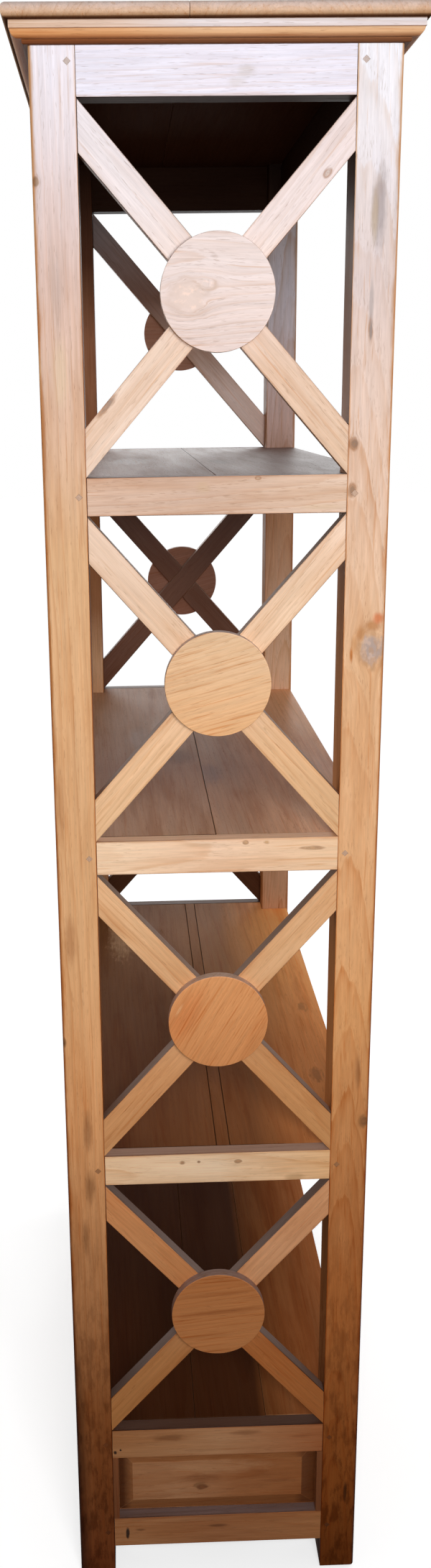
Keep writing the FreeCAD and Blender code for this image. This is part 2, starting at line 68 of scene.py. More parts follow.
LATE_TINT = (0.8, 0.6, 0.42, 1)          # dense wood of late summer, against the tone
EARLY_TINT = (1.04, 1.06, 1.08, 1)
PORE_TINT = (0.55, 0.42, 0.32, 1)
STREAK_TINT = (0.84, 0.64, 0.46, 1)
HONEY_TINT = (0.82, 0.7, 0.58, 1)        # deeper clouds in the wood, and paler ones
PALE_TINT = (1.06, 1.1, 1.16, 1)
BLEACHED_AND_LIT_TINT = (0.93, 0.89, 0.87, 1)    # what honey colour is left where the tone is pale, partly bleached and partly a painted highlight
GRIME_AND_SHADE_TINT = (0.5, 0.44, 0.42, 1)
BLOTCH_TINT = (1.42, 1.32, 1.22, 1)      # paler flecks inside a knot
HEART_BROWN = (0.3, 0.13, 0.05)


def leave_only(piece):
    """Deselects everything else and makes one piece active."""
    bpy.ops.object.select_all(action="DESELECT")
    piece.select_set(True)
    bpy.context.view_layer.objects.active = piece


def corners(piece):
    """The lowest and highest corner of a piece."""
    places = [vertex.co for vertex in piece.data.vertices]
    return (Vector([min(place[i] for place in places) for i in range(3)]),
            Vector([max(place[i] for place in places) for i in range(3)]))


def lengths_of(node):
    """Copies a CAD node and parts it into its separate lengths of wood, in order of place."""
    whole = bpy.data.objects.new(f"{node}_finished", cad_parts[node].data.copy())
    bpy.context.scene.collection.objects.link(whole)
    leave_only(whole)
    bpy.ops.mesh.customdata_custom_splitnormals_clear()
    bpy.ops.object.mode_set(mode="EDIT")
    bpy.ops.mesh.select_all(action="SELECT")
    bpy.ops.mesh.remove_doubles(threshold=MERGE_WITHIN)
    bpy.ops.mesh.dissolve_limited(angle_limit=FLAT_WITHIN)
    bpy.ops.mesh.separate(type="LOOSE")
    bpy.ops.object.mode_set(mode="OBJECT")
    return sorted(bpy.context.selected_objects,
                  key=lambda piece: tuple(round(part, 3) for part in sum(corners(piece), Vector((0, 0, 0)))))


def ease(piece, width=ARRIS_EASE, shortest=SHORTEST_EASED, sharpest=SHARPEST_SMOOTH):
    """Takes the long arrises of a piece back with a fine round, and nothing outwards."""
    low, high = corners(piece)
    leave_only(piece)
    bpy.ops.object.shade_smooth_by_angle(angle=sharpest)
    mesh = piece.data
    arris = mesh.attributes.new("bevel_weight_edge", "FLOAT", "EDGE")
    for edge in mesh.edges:
        start, end = (mesh.vertices[i].co for i in edge.vertices)
        arris.data[edge.index].value = float(edge.use_edge_sharp and (start - end).length > shortest)
    bevel = piece.modifiers.new("eased arrises", "BEVEL")
    bevel.limit_method = "WEIGHT"
    bevel.width = width
    bevel.segments = ARRIS_STEPS
    bevel.use_clamp_overlap = False
    bevel.harden_normals = True
    bpy.ops.object.modifier_apply(modifier=bevel.name)
    for vertex in mesh.vertices:
        vertex.co = [min(max(vertex.co[i], low[i]), high[i]) for i in range(3)]


logs_cut = 0


def cut_from_log(piece, outward, along, pith, lean=(0.0, 0.0)):
    """Writes for every point where it is in its bar, and where it was in the log."""
    global logs_cut
    logs_cut += 1
    low, high = corners(piece)
    middle = (low + high) / 2
    turn = Matrix((outward, along.cross(outward), along))    # into thickness, width and length
    in_bar = piece.data.attributes.new("place_in_bar", "FLOAT_VECTOR", "POINT")
    in_log = piece.data.attributes.new("place_in_log", "FLOAT_VECTOR", "POINT")
    for vertex in piece.data.vertices:
        thick, wide, far = turn @ (vertex.co - middle)
        in_bar.data[vertex.index].vector = (thick, wide, far)
        in_log.data[vertex.index].vector = (thick + pith[0] + lean[0] * far, wide + pith[1] + lean[1] * far,
                                            far + LOG_STEP * logs_cut)
    return lambda place: turn @ (Vector(place) - middle)


def feed(tree, node, inputs):
    """Gives each input a plain value or another node's output."""
    for place, value in inputs.items():
        if isinstance(value, bpy.types.NodeSocket):
            tree.links.new(value, node.inputs[place])
        else:
            node.inputs[place].default_value = value


def put(tree, kind, inputs=None, **choices):
    """Adds one shader node and feeds it."""
    node = tree.nodes.new("ShaderNode" + kind)
    for choice, value in choices.items():
        setattr(node, choice, value)
    feed(tree, node, inputs or {})
    return node


def number(tree, operation, *values):
    """One step of reckoning with numbers."""
    return put(tree, "Math", dict(enumerate(values)), operation=operation).outputs[0]


def times(tree, first, second):
    """One number times another."""
    return number(tree, "MULTIPLY", first, second)


def vector(tree, operation, *values):
    """One step of reckoning with places or colours."""
    return put(tree, "VectorMath", dict(enumerate(values)), operation=operation).outputs[0]


def stretched(tree, value, factor):
    """A vector made longer or shorter."""
    return put(tree, "VectorMath", {0: value, 3: factor}, operation="SCALE").outputs[0]


def length(tree, value):
    """How long a vector is."""
    return put(tree, "VectorMath", {0: value}, operation="LENGTH").outputs["Value"]


def noise(tree, place, waves, detail=2.0, roughness=0.5, output=0):
    """Soft unevenness at a number of waves to the metre in each direction."""
    spread = vector(tree, "MULTIPLY", place, waves)
    return put(tree, "TexNoise", {"Vector": spread, "Scale": 1.0, "Detail": detail,
                                  "Roughness": roughness}).outputs[output]


def wander(tree, place, waves, detail=2.0, roughness=0.5):
    """The same unevenness as a push to any side."""
    return vector(tree, "SUBTRACT", noise(tree, place, waves, detail, roughness, "Color"), (0.5, 0.5, 0.5))


def fade(tree, value, limits, ends=(0.0, 1.0), way="SMOOTHSTEP"):
    """Changes one number into another while a value goes from one limit to the next."""
    return put(tree, "MapRange", dict(enumerate((value, *limits, *ends))), interpolation_type=way).outputs[0]


def new_material(name):
    """A material with its node tree and its shader."""
    material = bpy.data.materials.new(name)
    material.use_nodes = True
    return material, material.node_tree, material.node_tree.nodes["Principled BSDF"]


def lay_over(tree, amount, under, over, blend="MIX"):
    """Lays one colour over another."""
    return put(tree, "Mix", {0: amount, 6: under, 7: over}, data_type="RGBA", blend_type=blend).outputs[2]


def graded(tree, value, stops):
    """A colour that changes along a row of stops, each a place and a colour's three parts."""
    first, last = stops[0][0], stops[-1][0]
    ramp = put(tree, "ValToRGB", {0: fade(tree, value, (first, last), way="LINEAR")})
    row = ramp.color_ramp.elements
    while len(row) < len(stops):
        row.new(0.5)
    for element, (place, *colour) in zip(row, stops):
        element.position = (place - first) / (last - first)
        element.color = (*colour, 1)
    return ramp.outputs["Color"]


def group(name, inputs, outputs):
    """Starts a node group with named sockets."""
    tree = bpy.data.node_groups.new(name, "ShaderNodeTree")
    for title, kind in inputs:
        tree.interface.new_socket(title, in_out="INPUT", socket_type="NodeSocket" + kind)
    for title, kind in outputs:
        tree.interface.new_socket(title, in_out="OUTPUT", socket_type="NodeSocket" + kind)
    return tree, tree.nodes.new("NodeGroupInput").outputs, tree.nodes.new("NodeGroupOutput").inputs


# Waves to the metre through the thickness, across the width and along the grain
SWAY_WAVES = (7, 7, 1.6)
RIPPLE_WAVES = (75, 75, 11)
BROKEN_RING_WAVES = (130, 130, 14)
COARSE_FIBRE_WAVES = (230, 230, 4.5)
FINE_FIBRE_WAVES = (700, 700, 15)
STREAK_WAVES = (330, 330, 5.5)
PORE_WAVES = (1050, 1050, 80)
BROAD_CLOUD_WAVES = (17, 17, 2.8)
NARROW_CLOUD_WAVES = (48, 48, 6.5)
RAGGED_WAVES = (160, 160, 60)
PATCH_WAVES = (110, 110, 45)
BLOTCH_WAVES = (150, 150, 110)
BAND_WAVES = (90, 90, 14)
GRIME_WAVES = (95, 95, 28)

MOST_NOISE = (0.3, 0.7)                  # nearly all of a noise lies between these
RIPPLE_SIZE = (0.003, 0.003, 0.0)
YEAR = ((0, 0), (0.35, 0.12), (0.7, 0.45), (0.9, 1), (0.96, 0.8), (1, 0))# share of the year, density
BROKEN_RING = (0.35, 1.1)                # least and most of a ring that shows
LEAST_RAIN = 0.15                        # how strong the faintest ring is
COARSE_SHARE = 0.6
BROAD_SHARE = 0.55
STREAK_LIMITS = (0.6, 0.72)
PORE_LIMITS = (0.6, 0.7)
EARLY_SEASON = (0.0, 0.6)
GRAIN_FLOWS = (1.5, 5.0)                 # radii from a knot


def figure_of_the_wood():
    """Year rings about the pith, with the fibre, open pores and clouds of the timber."""
    tree, given, result = group("figure of the wood",
                                (("Place in log", "Vector"), ("Ring spacing", "Float"), ("Sway", "Float")),
                                (("Late wood", "Float"), ("Fibre", "Float"), ("Dark streaks", "Float"),
                                 ("Pores", "Float"), ("Clouds", "Float")))
    place = given["Place in log"]
    sway = stretched(tree, wander(tree, place, SWAY_WAVES), given["Sway"])
    ripple = vector(tree, "MULTIPLY", wander(tree, place, RIPPLE_WAVES, 3.0, 0.6), RIPPLE_SIZE)
    grown = vector(tree, "ADD", vector(tree, "ADD", place, sway), ripple)
    from_pith = length(tree, vector(tree, "MULTIPLY", grown, (1, 1, 0)))
    year = number(tree, "DIVIDE", from_pith, given["Ring spacing"])
    season = number(tree, "FRACT", year)
    rain = put(tree, "TexWhiteNoise", {"W": number(tree, "FLOOR", year)}, noise_dimensions="1D").outputs["Value"]
    ring = graded(tree, season, [(share, dense, dense, dense) for share, dense in YEAR])
    broken = fade(tree, noise(tree, place, BROKEN_RING_WAVES), MOST_NOISE, BROKEN_RING, "LINEAR")
    strength = times(tree, number(tree, "MULTIPLY_ADD", rain, 1 - LEAST_RAIN, LEAST_RAIN), broken)
    tree.links.new(times(tree, ring, strength), result["Late wood"])
    for title, wide, narrow, share in (
            ("Fibre", noise(tree, place, COARSE_FIBRE_WAVES, 3.0, 0.65),
             noise(tree, place, FINE_FIBRE_WAVES, 2.0, 0.6), COARSE_SHARE),
            ("Clouds", noise(tree, place, BROAD_CLOUD_WAVES, 3.0, 0.55),
             noise(tree, place, NARROW_CLOUD_WAVES, 3.0, 0.6), BROAD_SHARE)):
        tree.links.new(number(tree, "MULTIPLY_ADD", wide, share, times(tree, narrow, 1 - share)), result[title])
    tree.links.new(fade(tree, noise(tree, place, STREAK_WAVES), STREAK_LIMITS), result["Dark streaks"])
    pores = fade(tree, noise(tree, place, PORE_WAVES, 1.0), PORE_LIMITS)
    early = fade(tree, season, EARLY_SEASON, (1.0, 0.2))
    tree.links.new(times(tree, pores, early), result["Pores"])
    return tree


def blemish_in_the_wood():
    """How far a point is from a blemish, in its own radii, and how it pushes the grain aside."""
    tree, given, result = group("blemish in the wood",
                                (("Place in bar", "Vector"), ("Middle", "Vector"), ("Reach", "Vector"),
                                 ("Ragged", "Float")),
                                (("Distance", "Float"), ("Grain aside", "Vector")))
    place = vector(tree, "SUBTRACT", given["Place in bar"], given["Middle"])
    ragged = stretched(tree, wander(tree, given["Place in bar"], RAGGED_WAVES), given["Ragged"])
    distance = length(tree, vector(tree, "ADD", vector(tree, "DIVIDE", place, given["Reach"]), ragged))
    tree.links.new(distance, result["Distance"])
    outside = number(tree, "MAXIMUM", distance, 1.0)
    squeeze = number(tree, "DIVIDE", fade(tree, distance, GRAIN_FLOWS, (1.0, 0.0)), times(tree, outside, outside))
    aside = vector(tree, "MULTIPLY", place, (0.0, -1.0, 0.0))
    tree.links.new(stretched(tree, aside, squeeze), result["Grain aside"])
    return tree


FIGURE = figure_of_the_wood()
BLEMISH = blemish_in_the_wood()


def knot(place, across, along, heart, rim=HEART_BROWN, ragged=0.5, strength=0.85):
    """A knot that the grain flows round, with rings of its own."""
    return {"kind": "knot", "place": place, "reach": (across, along), "colour": heart, "rim": rim,
            "ragged": ragged, "strength": strength}


def stain(place, across, along, colour, ragged=0.6, strength=0.6):
    """A patch of another colour that the grain doesn't heed."""
    return {"kind": "stain", "place": place, "reach": (across, along), "colour": colour,
            "ragged": ragged, "strength": strength}


def hole(place, across, along, ragged=0.4):
    """A crack, worm or nail hole, dark and sunk."""
    return {"kind": "hole", "place": place, "reach": (across, along), "colour": (0.02, 0.009, 0.005),
            "ragged": ragged, "strength": 0.95}


def arris_band(half_thick, half_wide, reach, tint, amount, outer=0, turned=False):
    """Tinted arrises: how far in, what tint, how much, and which side gets most."""
    return {"half_thick": half_thick, "half_wide": half_wide, "reach": reach, "tint": tint,
            "amount": amount, "outer": outer, "turned": turned}


# How nearly a surface has to look in a direction, from not at all to fully; these lay painted light and shade on faces
# that look inwards, down and up
FACE_LOOKS = (0.55, 0.97)
INSIDE_LOOKS = (0.4, 0.8)
UNDER_LOOKS = (0.3, 0.7)
TOP_LOOKS = (0.3, 0.8)


def tone_of_faces(tree, places, axis, face, other, outward, facing, inside, under, top):
    """The tone of the face, and of the other faces by the way they look: painted shade on faces that look inwards and
    down, painted light and shade on faces that look up.
    """
    tone = graded(tree, places[axis], face)
    if not other:
        return tone
    normal = put(tree, "NewGeometry").outputs["Normal"]

    def looks(direction, limits):
        share = put(tree, "VectorMath", {0: normal, 1: direction}, operation="DOT_PRODUCT").outputs["Value"]
        return fade(tree, share, limits)

    rest = graded(tree, places[axis], other)
    for direction, shaded in inside:
        rest = lay_over(tree, looks(direction, INSIDE_LOOKS), rest, graded(tree, places["Z"], shaded))
    if under:
        rest = lay_over(tree, looks(-UP, UNDER_LOOKS), rest, (*under, 1))
    if top:
        rest = lay_over(tree, looks(UP, TOP_LOOKS), rest, (*top, 1))
    return lay_over(tree, looks(outward, facing), rest, tone)


BLEACHED_AND_LIT_BLUE = (0.28, 0.66)             # a tone's blue part, from honey to pale, partly bleached and partly a painted highlight
HONEY_CLOUDS = (0.48, 0.62)
PALE_CLOUDS = (0.36, 0.48)
STAIN_EDGE = (0.3, 1.15)                 # radii
RINGS_BLEACHED_AND_LIT = 0.45                    # share of the rings that the pale tone takes
FIBRE_TONES = (0.86, 1.12)
PORES_DARK = 0.4


def figured(tree, tone, grain, figure, streaky, clouds, marked):
    """The tone with its clouds, stains, year rings, fibre, streaks and pores."""
    bleached_and_lit = fade(tree, put(tree, "SeparateColor", {0: tone}).outputs["Blue"], BLEACHED_AND_LIT_BLUE)
    honey = times(tree, fade(tree, grain["Clouds"], HONEY_CLOUDS), clouds)
    pale = times(tree, fade(tree, grain["Clouds"], PALE_CLOUDS, (1.0, 0.0)), clouds)
    colour = lay_over(tree, honey, tone, lay_over(tree, bleached_and_lit, HONEY_TINT, BLEACHED_AND_LIT_TINT), "MULTIPLY")
    colour = lay_over(tree, pale, colour, PALE_TINT, "MULTIPLY")
    for mark, distance in marked:
        if mark["kind"] == "stain":
            shape = fade(tree, distance, STAIN_EDGE, (mark["strength"], 0.0))
            colour = lay_over(tree, shape, colour, (*mark["colour"], 1))
    lined = number(tree, "MULTIPLY_ADD", bleached_and_lit, -RINGS_BLEACHED_AND_LIT, 1.0)
    late = times(tree, times(tree, grain["Late wood"], figure), lined)
    colour = lay_over(tree, 1.0, colour, lay_over(tree, late, EARLY_TINT, LATE_TINT), "MULTIPLY")
    colour = vector(tree, "MULTIPLY", colour, fade(tree, grain["Fibre"], MOST_NOISE, FIBRE_TONES, "LINEAR"))
    streaks = times(tree, times(tree, grain["Dark streaks"], streaky), lined)
    colour = lay_over(tree, streaks, colour, STREAK_TINT, "MULTIPLY")
    return lay_over(tree, times(tree, grain["Pores"], PORES_DARK), colour, PORE_TINT, "MULTIPLY")


KNOT_EDGE = (0.6, 1.1)                   # this and the next three in radii
RIM_RISES = (0.6, 1.0)
RIM_FALLS = (1.0, 1.6)
HOLE_EDGE = (0.55, 1.1)
KNOT_RINGS = 13.0                        # radians of ring in one radius
RING_SHOWS = (-0.4, 1.0)
RING_PATCHES = (0.42, 0.6)
RIM_PATCHES = (0.38, 0.6)
HEART_BLOTCHES = (0.48, 0.64)
RIM_DEPTH = 0.8
HOLE_DEPTH = 4.0


def knots_and_holes(tree, bar, colour, height, marked):
    """Knots with hearts, rims and rings of their own, and dark sunk holes."""
    patches = noise(tree, bar, PATCH_WAVES)
    blotches = noise(tree, bar, BLOTCH_WAVES, 3.0, 0.6)
    for mark, distance in marked:
        own, strength = (*mark["colour"], 1), mark["strength"]
        if mark["kind"] == "knot":
            rim = (*mark["rim"], 1)
            rings = fade(tree, number(tree, "SINE", times(tree, distance, KNOT_RINGS)), RING_SHOWS, (0.0, 0.45))
            rings = times(tree, rings, fade(tree, patches, RING_PATCHES))
            flecks = fade(tree, blotches, HEART_BLOTCHES, (0.0, 0.8))
            heart = lay_over(tree, rings, lay_over(tree, flecks, own, BLOTCH_TINT, "MULTIPLY"), rim)
            edge = times(tree, fade(tree, distance, RIM_RISES), fade(tree, distance, RIM_FALLS, (0.8, 0.0)))
            edge = times(tree, edge, fade(tree, patches, RIM_PATCHES, (0.15, 1.0)))
            colour = lay_over(tree, fade(tree, distance, KNOT_EDGE, (strength, 0.0)), colour, heart)
            colour = lay_over(tree, times(tree, edge, strength), colour, rim)
            height = number(tree, "SUBTRACT", height, times(tree, edge, RIM_DEPTH))
        elif mark["kind"] == "hole":
            shape = fade(tree, distance, HOLE_EDGE, (strength, 0.0))
            colour = lay_over(tree, shape, colour, own)
            height = number(tree, "SUBTRACT", height, times(tree, shape, HOLE_DEPTH))
    return colour, height


UNEVEN_REACH = (0.3, 1.5)                # least and most of the tinted band
OUTER_SIDE = (-0.01, 0.01)
INNER_REACH = 0.3                        # share of the band on the side that gets less
BAND_LIMITS = (0.0, 0.8)
RUB_SMOOTH = 0.08                        # roughness that rubbing takes away


def tint_arris_band(tree, bar, colour, rough, banded_arris):
    """The arrises tinted and made smoother in an uneven band: darker on most pieces, paler on the discs as a painted
    highlight.
    """
    split = put(tree, "SeparateXYZ", {0: bar}).outputs
    thick = number(tree, "SUBTRACT", banded_arris["half_thick"], number(tree, "ABSOLUTE", split["X"]))
    if banded_arris["turned"]:
        off_middle = length(tree, vector(tree, "MULTIPLY", bar, (0, 1, 1)))
    else:
        off_middle = number(tree, "ABSOLUTE", split["Y"])
    from_arris = number(tree, "MAXIMUM", thick, number(tree, "SUBTRACT", banded_arris["half_wide"], off_middle))
    uneven = fade(tree, noise(tree, bar, BAND_WAVES, 3.0, 0.6), MOST_NOISE, UNEVEN_REACH, "LINEAR")
    reach = times(tree, uneven, banded_arris["reach"])
    if banded_arris["outer"]:
        side = times(tree, split["Y"], banded_arris["outer"])
        reach = times(tree, reach, fade(tree, side, OUTER_SIDE, (INNER_REACH, 1.0)))
    band_share = number(tree, "SUBTRACT", 1.0, number(tree, "DIVIDE", from_arris, reach))
    band_share = fade(tree, band_share, BAND_LIMITS, (0.0, banded_arris["amount"]))
    return (lay_over(tree, band_share, colour, (*banded_arris["tint"], 1), "MULTIPLY"),
            number(tree, "SUBTRACT", rough, times(tree, band_share, RUB_SMOOTH)))


# Darkening low down, partly dirt and partly painted shade.
GRIME_PATCHES = (0.44, 0.64)
GRIME_AND_SHADE_HEIGHTS = (0.1, 0.75)
GRIME_ROUGH = 0.2


def soiled_and_shaded(tree, bar, up, colour, rough, grime_and_shade):
    """Darkening in patches low down: dirt rubbed into the grain, and painted shade where the light falls off towards
    the floor.
    """
    patches = fade(tree, noise(tree, bar, GRIME_WAVES, 4.0, 0.65), GRIME_PATCHES)
    dirt_and_shade = times(tree, patches, fade(tree, up, GRIME_AND_SHADE_HEIGHTS, (grime_and_shade, 0.0)))
    return (lay_over(tree, dirt_and_shade, colour, GRIME_AND_SHADE_TINT, "MULTIPLY"),
            number(tree, "MULTIPLY_ADD", dirt_and_shade, GRIME_ROUGH, rough))


GRAIN_SWAY = 0.016
RING_RISE, FIBRE_RISE, PORE_DEPTH = 0.35, 0.6, 0.6
PLAIN_ROUGH, FIBRE_ROUGH, PORE_ROUGH, CLOUD_ROUGH = 0.46, 0.16, 0.15, 0.3
BUMP_STRENGTH, BUMP_DEPTH = 0.6, 0.0005


def wood(name, face, other=None, outward=None, axis="Z", facing=FACE_LOOKS, inside=(), top=None, under=None,
         across=None, spacing=RING_SPACING, figure=0.55, streaky=0.6, clouds=0.6, blemishes=(), banded_arris=None,
         grime_and_shade=0.0, gloss=0.3):
    """Finished wood: the tone of its face and of its other faces with their painted light and shade, its figure, marks,
    tinted arrises and darkening low down.
    """
    material, tree, shader = new_material(name)
    bar = put(tree, "Attribute", attribute_name="place_in_bar").outputs["Vector"]
    log = put(tree, "Attribute", attribute_name="place_in_log").outputs["Vector"]
    places = put(tree, "SeparateXYZ", {0: put(tree, "TexCoord").outputs["Object"]}).outputs
    marked = []
    for mark in blemishes:
        found = put(tree, "Group", {"Place in bar": bar, "Middle": (0, *mark["place"][1:]),
                                    "Reach": (1.0, *mark["reach"]), "Ragged": mark["ragged"]}, node_tree=BLEMISH)
        marked.append((mark, found.outputs["Distance"]))
        if mark["kind"] == "knot":
            log = vector(tree, "ADD", log, found.outputs["Grain aside"])
    grain = put(tree, "Group", {"Place in log": log, "Ring spacing": spacing, "Sway": GRAIN_SWAY},
                node_tree=FIGURE).outputs
    late, fibre, pores, cloudy = (grain[title] for title in ("Late wood", "Fibre", "Pores", "Clouds"))
    tone = tone_of_faces(tree, places, axis, face, other, outward, facing, inside, under, top)
    if across:
        tone = lay_over(tree, 1.0, tone, graded(tree, places["Y"], across), "MULTIPLY")
    colour = figured(tree, tone, grain, figure, streaky, clouds, marked)
    height = number(tree, "MULTIPLY_ADD", late, RING_RISE, times(tree, fibre, FIBRE_RISE))
    height = number(tree, "SUBTRACT", height, times(tree, pores, PORE_DEPTH))
    colour, height = knots_and_holes(tree, bar, colour, height, marked)
    rough = number(tree, "MULTIPLY_ADD", fibre, FIBRE_ROUGH, PLAIN_ROUGH - FIBRE_ROUGH / 2)
    rough = number(tree, "ADD", rough, times(tree, pores, PORE_ROUGH))
    rough = number(tree, "MULTIPLY_ADD", cloudy, CLOUD_ROUGH, number(tree, "SUBTRACT", rough, CLOUD_ROUGH / 2))
    if banded_arris:
        colour, rough = tint_arris_band(tree, bar, colour, rough, banded_arris)
    if grime_and_shade:
        colour, rough = soiled_and_shaded(tree, bar, places["Z"], colour, rough, grime_and_shade)
    bump = put(tree, "Bump", {"Strength": BUMP_STRENGTH, "Distance": BUMP_DEPTH, "Height": height})
    feed(tree, shader, {"Base Color": colour, "Roughness": rough, "Normal": bump.outputs["Normal"],
                        "Specular IOR Level": gloss})
    return material


def fit(piece, node, material):
    """Gives a finished piece its material and its place on the body, and hides the node it stands for."""
    piece.data.materials.clear()
    piece.data.materials.append(material)
    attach(piece, "root")
    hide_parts(node)


def in_bar(to_bar, blemishes):
    """Blemishes given by their place on the bookcase, as places in the bar. On the near end x is left out."""
    return [{**mark, "place": tuple(to_bar((0, *mark["place"])[-3:]))} for mark in blemishes]


# Painted shade: the posts' side faces, darker than the face and darkest at the floor.
POST_SIDE_SHADE = ((0.0, 0.04, 0.014, 0.008), (0.12, 0.055, 0.018, 0.008), (0.3, 0.1, 0.033, 0.012),
             (0.5, 0.2, 0.065, 0.02), (0.8, 0.38, 0.135, 0.042), (1.2, 0.49, 0.2, 0.07), (1.7, 0.68, 0.36, 0.155),
             (2.05, 0.78, 0.48, 0.25))
# The near posts' faces, partly painted light: the pale lilac at the cornice is a painted highlight, and the dark foot
# is partly painted shade.
POST_FACES = {
    "front": ((0.0, 0.21, 0.05, 0.013), (0.3, 0.38, 0.13, 0.04), (0.75, 0.84, 0.4, 0.17), (1.0, 0.74, 0.4, 0.19),
              (1.5, 0.62, 0.37, 0.2), (1.8, 0.6, 0.43, 0.37), (2.052, 0.8, 0.76, 0.82)),
    "back": ((0.0, 0.22, 0.06, 0.012), (0.15, 0.36, 0.1, 0.02), (0.5, 0.54, 0.18, 0.05), (0.9, 0.77, 0.37, 0.15),
             (1.35, 0.7, 0.43, 0.25), (1.8, 0.58, 0.46, 0.42), (2.052, 0.82, 0.81, 0.86)),
}
# Painted shade: the far end's pieces take this darker copy of the near tones.
FAR_FACE_SHADED = ((0.0, 0.16, 0.055, 0.022), (0.3, 0.32, 0.12, 0.045), (0.7, 0.5, 0.22, 0.085), (1.2, 0.56, 0.29, 0.13),
            (1.7, 0.57, 0.34, 0.19), (2.052, 0.6, 0.4, 0.26))
# Painted shade on the posts' inner faces, nearly black under the cornice.
POST_INSIDE_SHADE = {
    "front": ((0.0, 0.03, 0.01, 0.004), (0.45, 0.07, 0.023, 0.008), (0.9, 0.27, 0.096, 0.035),
              (1.1, 0.34, 0.135, 0.058), (1.3, 0.34, 0.145, 0.072), (1.5, 0.18, 0.065, 0.024),
              (1.75, 0.19, 0.078, 0.038), (1.87, 0.025, 0.008, 0.003), (2.05, 0.02, 0.006, 0.002)),
    "back": ((0.0, 0.08, 0.027, 0.01), (0.45, 0.35, 0.125, 0.04), (0.9, 0.66, 0.26, 0.088), (1.3, 0.58, 0.27, 0.115),
             (1.78, 0.24, 0.11, 0.06), (1.88, 0.05, 0.018, 0.008), (2.05, 0.03, 0.01, 0.004)),
}
# Painted light and shade on the far posts' faces that look to the near end: lit in the bays, nearly black under the
# cornice.
FAR_POST_INSIDE_LIGHT_AND_SHADE = {
    "front": ((0.0, 0.06, 0.02, 0.008), (0.6, 0.42, 0.17, 0.07), (0.9, 0.78, 0.42, 0.22), (1.2, 0.8, 0.47, 0.27),
              (1.3, 0.42, 0.18, 0.08), (1.46, 0.36, 0.135, 0.05), (1.62, 0.42, 0.18, 0.09),
              (1.77, 0.42, 0.175, 0.088), (1.9, 0.1, 0.033, 0.014), (2.05, 0.02, 0.007, 0.003)),
    "back": ((0.0, 0.1, 0.035, 0.015), (0.6, 0.68, 0.36, 0.19), (0.9, 0.84, 0.49, 0.3), (1.2, 0.84, 0.52, 0.33),
             (1.3, 0.7, 0.41, 0.26), (1.46, 0.64, 0.32, 0.17), (1.62, 0.74, 0.49, 0.42), (1.8, 0.68, 0.58, 0.6),
             (1.9, 0.54, 0.46, 0.47), (1.97, 0.38, 0.31, 0.3), (1.984, 0.03, 0.014, 0.009), (2.05, 0.02, 0.009, 0.006)),
}

FRONT_POST_MARKS = (
    stain((-0.208, 0.2), 0.026, 0.3, (0.045, 0.014, 0.007), ragged=0.25, strength=0.8),
    stain((-0.203, 0.03), 0.02, 0.1, (0.04, 0.014, 0.008), ragged=0.35, strength=0.55),
    stain((-0.176, 1.7), 0.01, 0.045, (0.62, 0.47, 0.3), strength=0.4),
    knot((-0.196, 1.899), 0.004, 0.006, (0.3, 0.2, 0.13)),
    stain((-0.178, 1.79), 0.009, 0.05, (0.45, 0.36, 0.33), strength=0.35),
    stain((-0.192, 1.19), 0.006, 0.06, (0.42, 0.16, 0.05), strength=0.4),
    stain((-0.186, 1.01), 0.01, 0.04, (0.42, 0.16, 0.055), strength=0.5),
    knot((-0.199, 0.868), 0.003, 0.006, (0.12, 0.05, 0.02)),
    stain((-0.171, 0.738), 0.007, 0.035, (0.22, 0.075, 0.025), strength=0.5),
    stain((-0.17, 0.654), 0.008, 0.03, (0.2, 0.07, 0.022), strength=0.55),
    stain((-0.178, 0.577), 0.006, 0.03, (0.2, 0.07, 0.022), strength=0.5),
)
BACK_POST_MARKS = (
    stain((0.203, 0.1), 0.008, 0.2, (0.06, 0.02, 0.01), ragged=0.3),
    stain((0.178, 1.868), 0.01, 0.052, (0.3, 0.25, 0.25), ragged=0.7, strength=0.7),
    stain((0.173, 1.862), 0.005, 0.035, (0.42, 0.31, 0.2)),
    stain((0.172, 1.77), 0.003, 0.035, (0.32, 0.27, 0.26)),
    knot((0.172, 1.742), 0.002, 0.012, (0.25, 0.2, 0.18)),
    knot((0.157, 1.618), 0.005, 0.006, (0.2, 0.12, 0.08)),
    knot((0.156, 1.565), 0.004, 0.007, (0.22, 0.13, 0.08)),
    stain((0.184, 1.407), 0.013, 0.008, (0.42, 0.18, 0.065), ragged=0.5, strength=0.8),
    stain((0.171, 1.397), 0.008, 0.011, (0.44, 0.2, 0.075), ragged=0.5, strength=0.75),
    stain((0.163, 1.384), 0.005, 0.012, (0.48, 0.23, 0.09), ragged=0.5),
    stain((0.191, 1.416), 0.008, 0.008, (0.58, 0.17, 0.06), strength=0.8),
    stain((0.16, 1.371), 0.0025, 0.011, (0.46, 0.16, 0.04), strength=0.9),
    knot((0.185, 1.378), 0.015, 0.02, (0.37, 0.285, 0.255), rim=(0.44, 0.24, 0.12), ragged=1.0, strength=0.9),
    knot((0.194, 0.742), 0.006, 0.008, (0.22, 0.1, 0.045)),
    stain((0.184, 0.815), 0.005, 0.028, (0.26, 0.1, 0.04), strength=0.5),
    stain((0.184, 0.137), 0.003, 0.022, (0.05, 0.02, 0.01), strength=0.7),
)

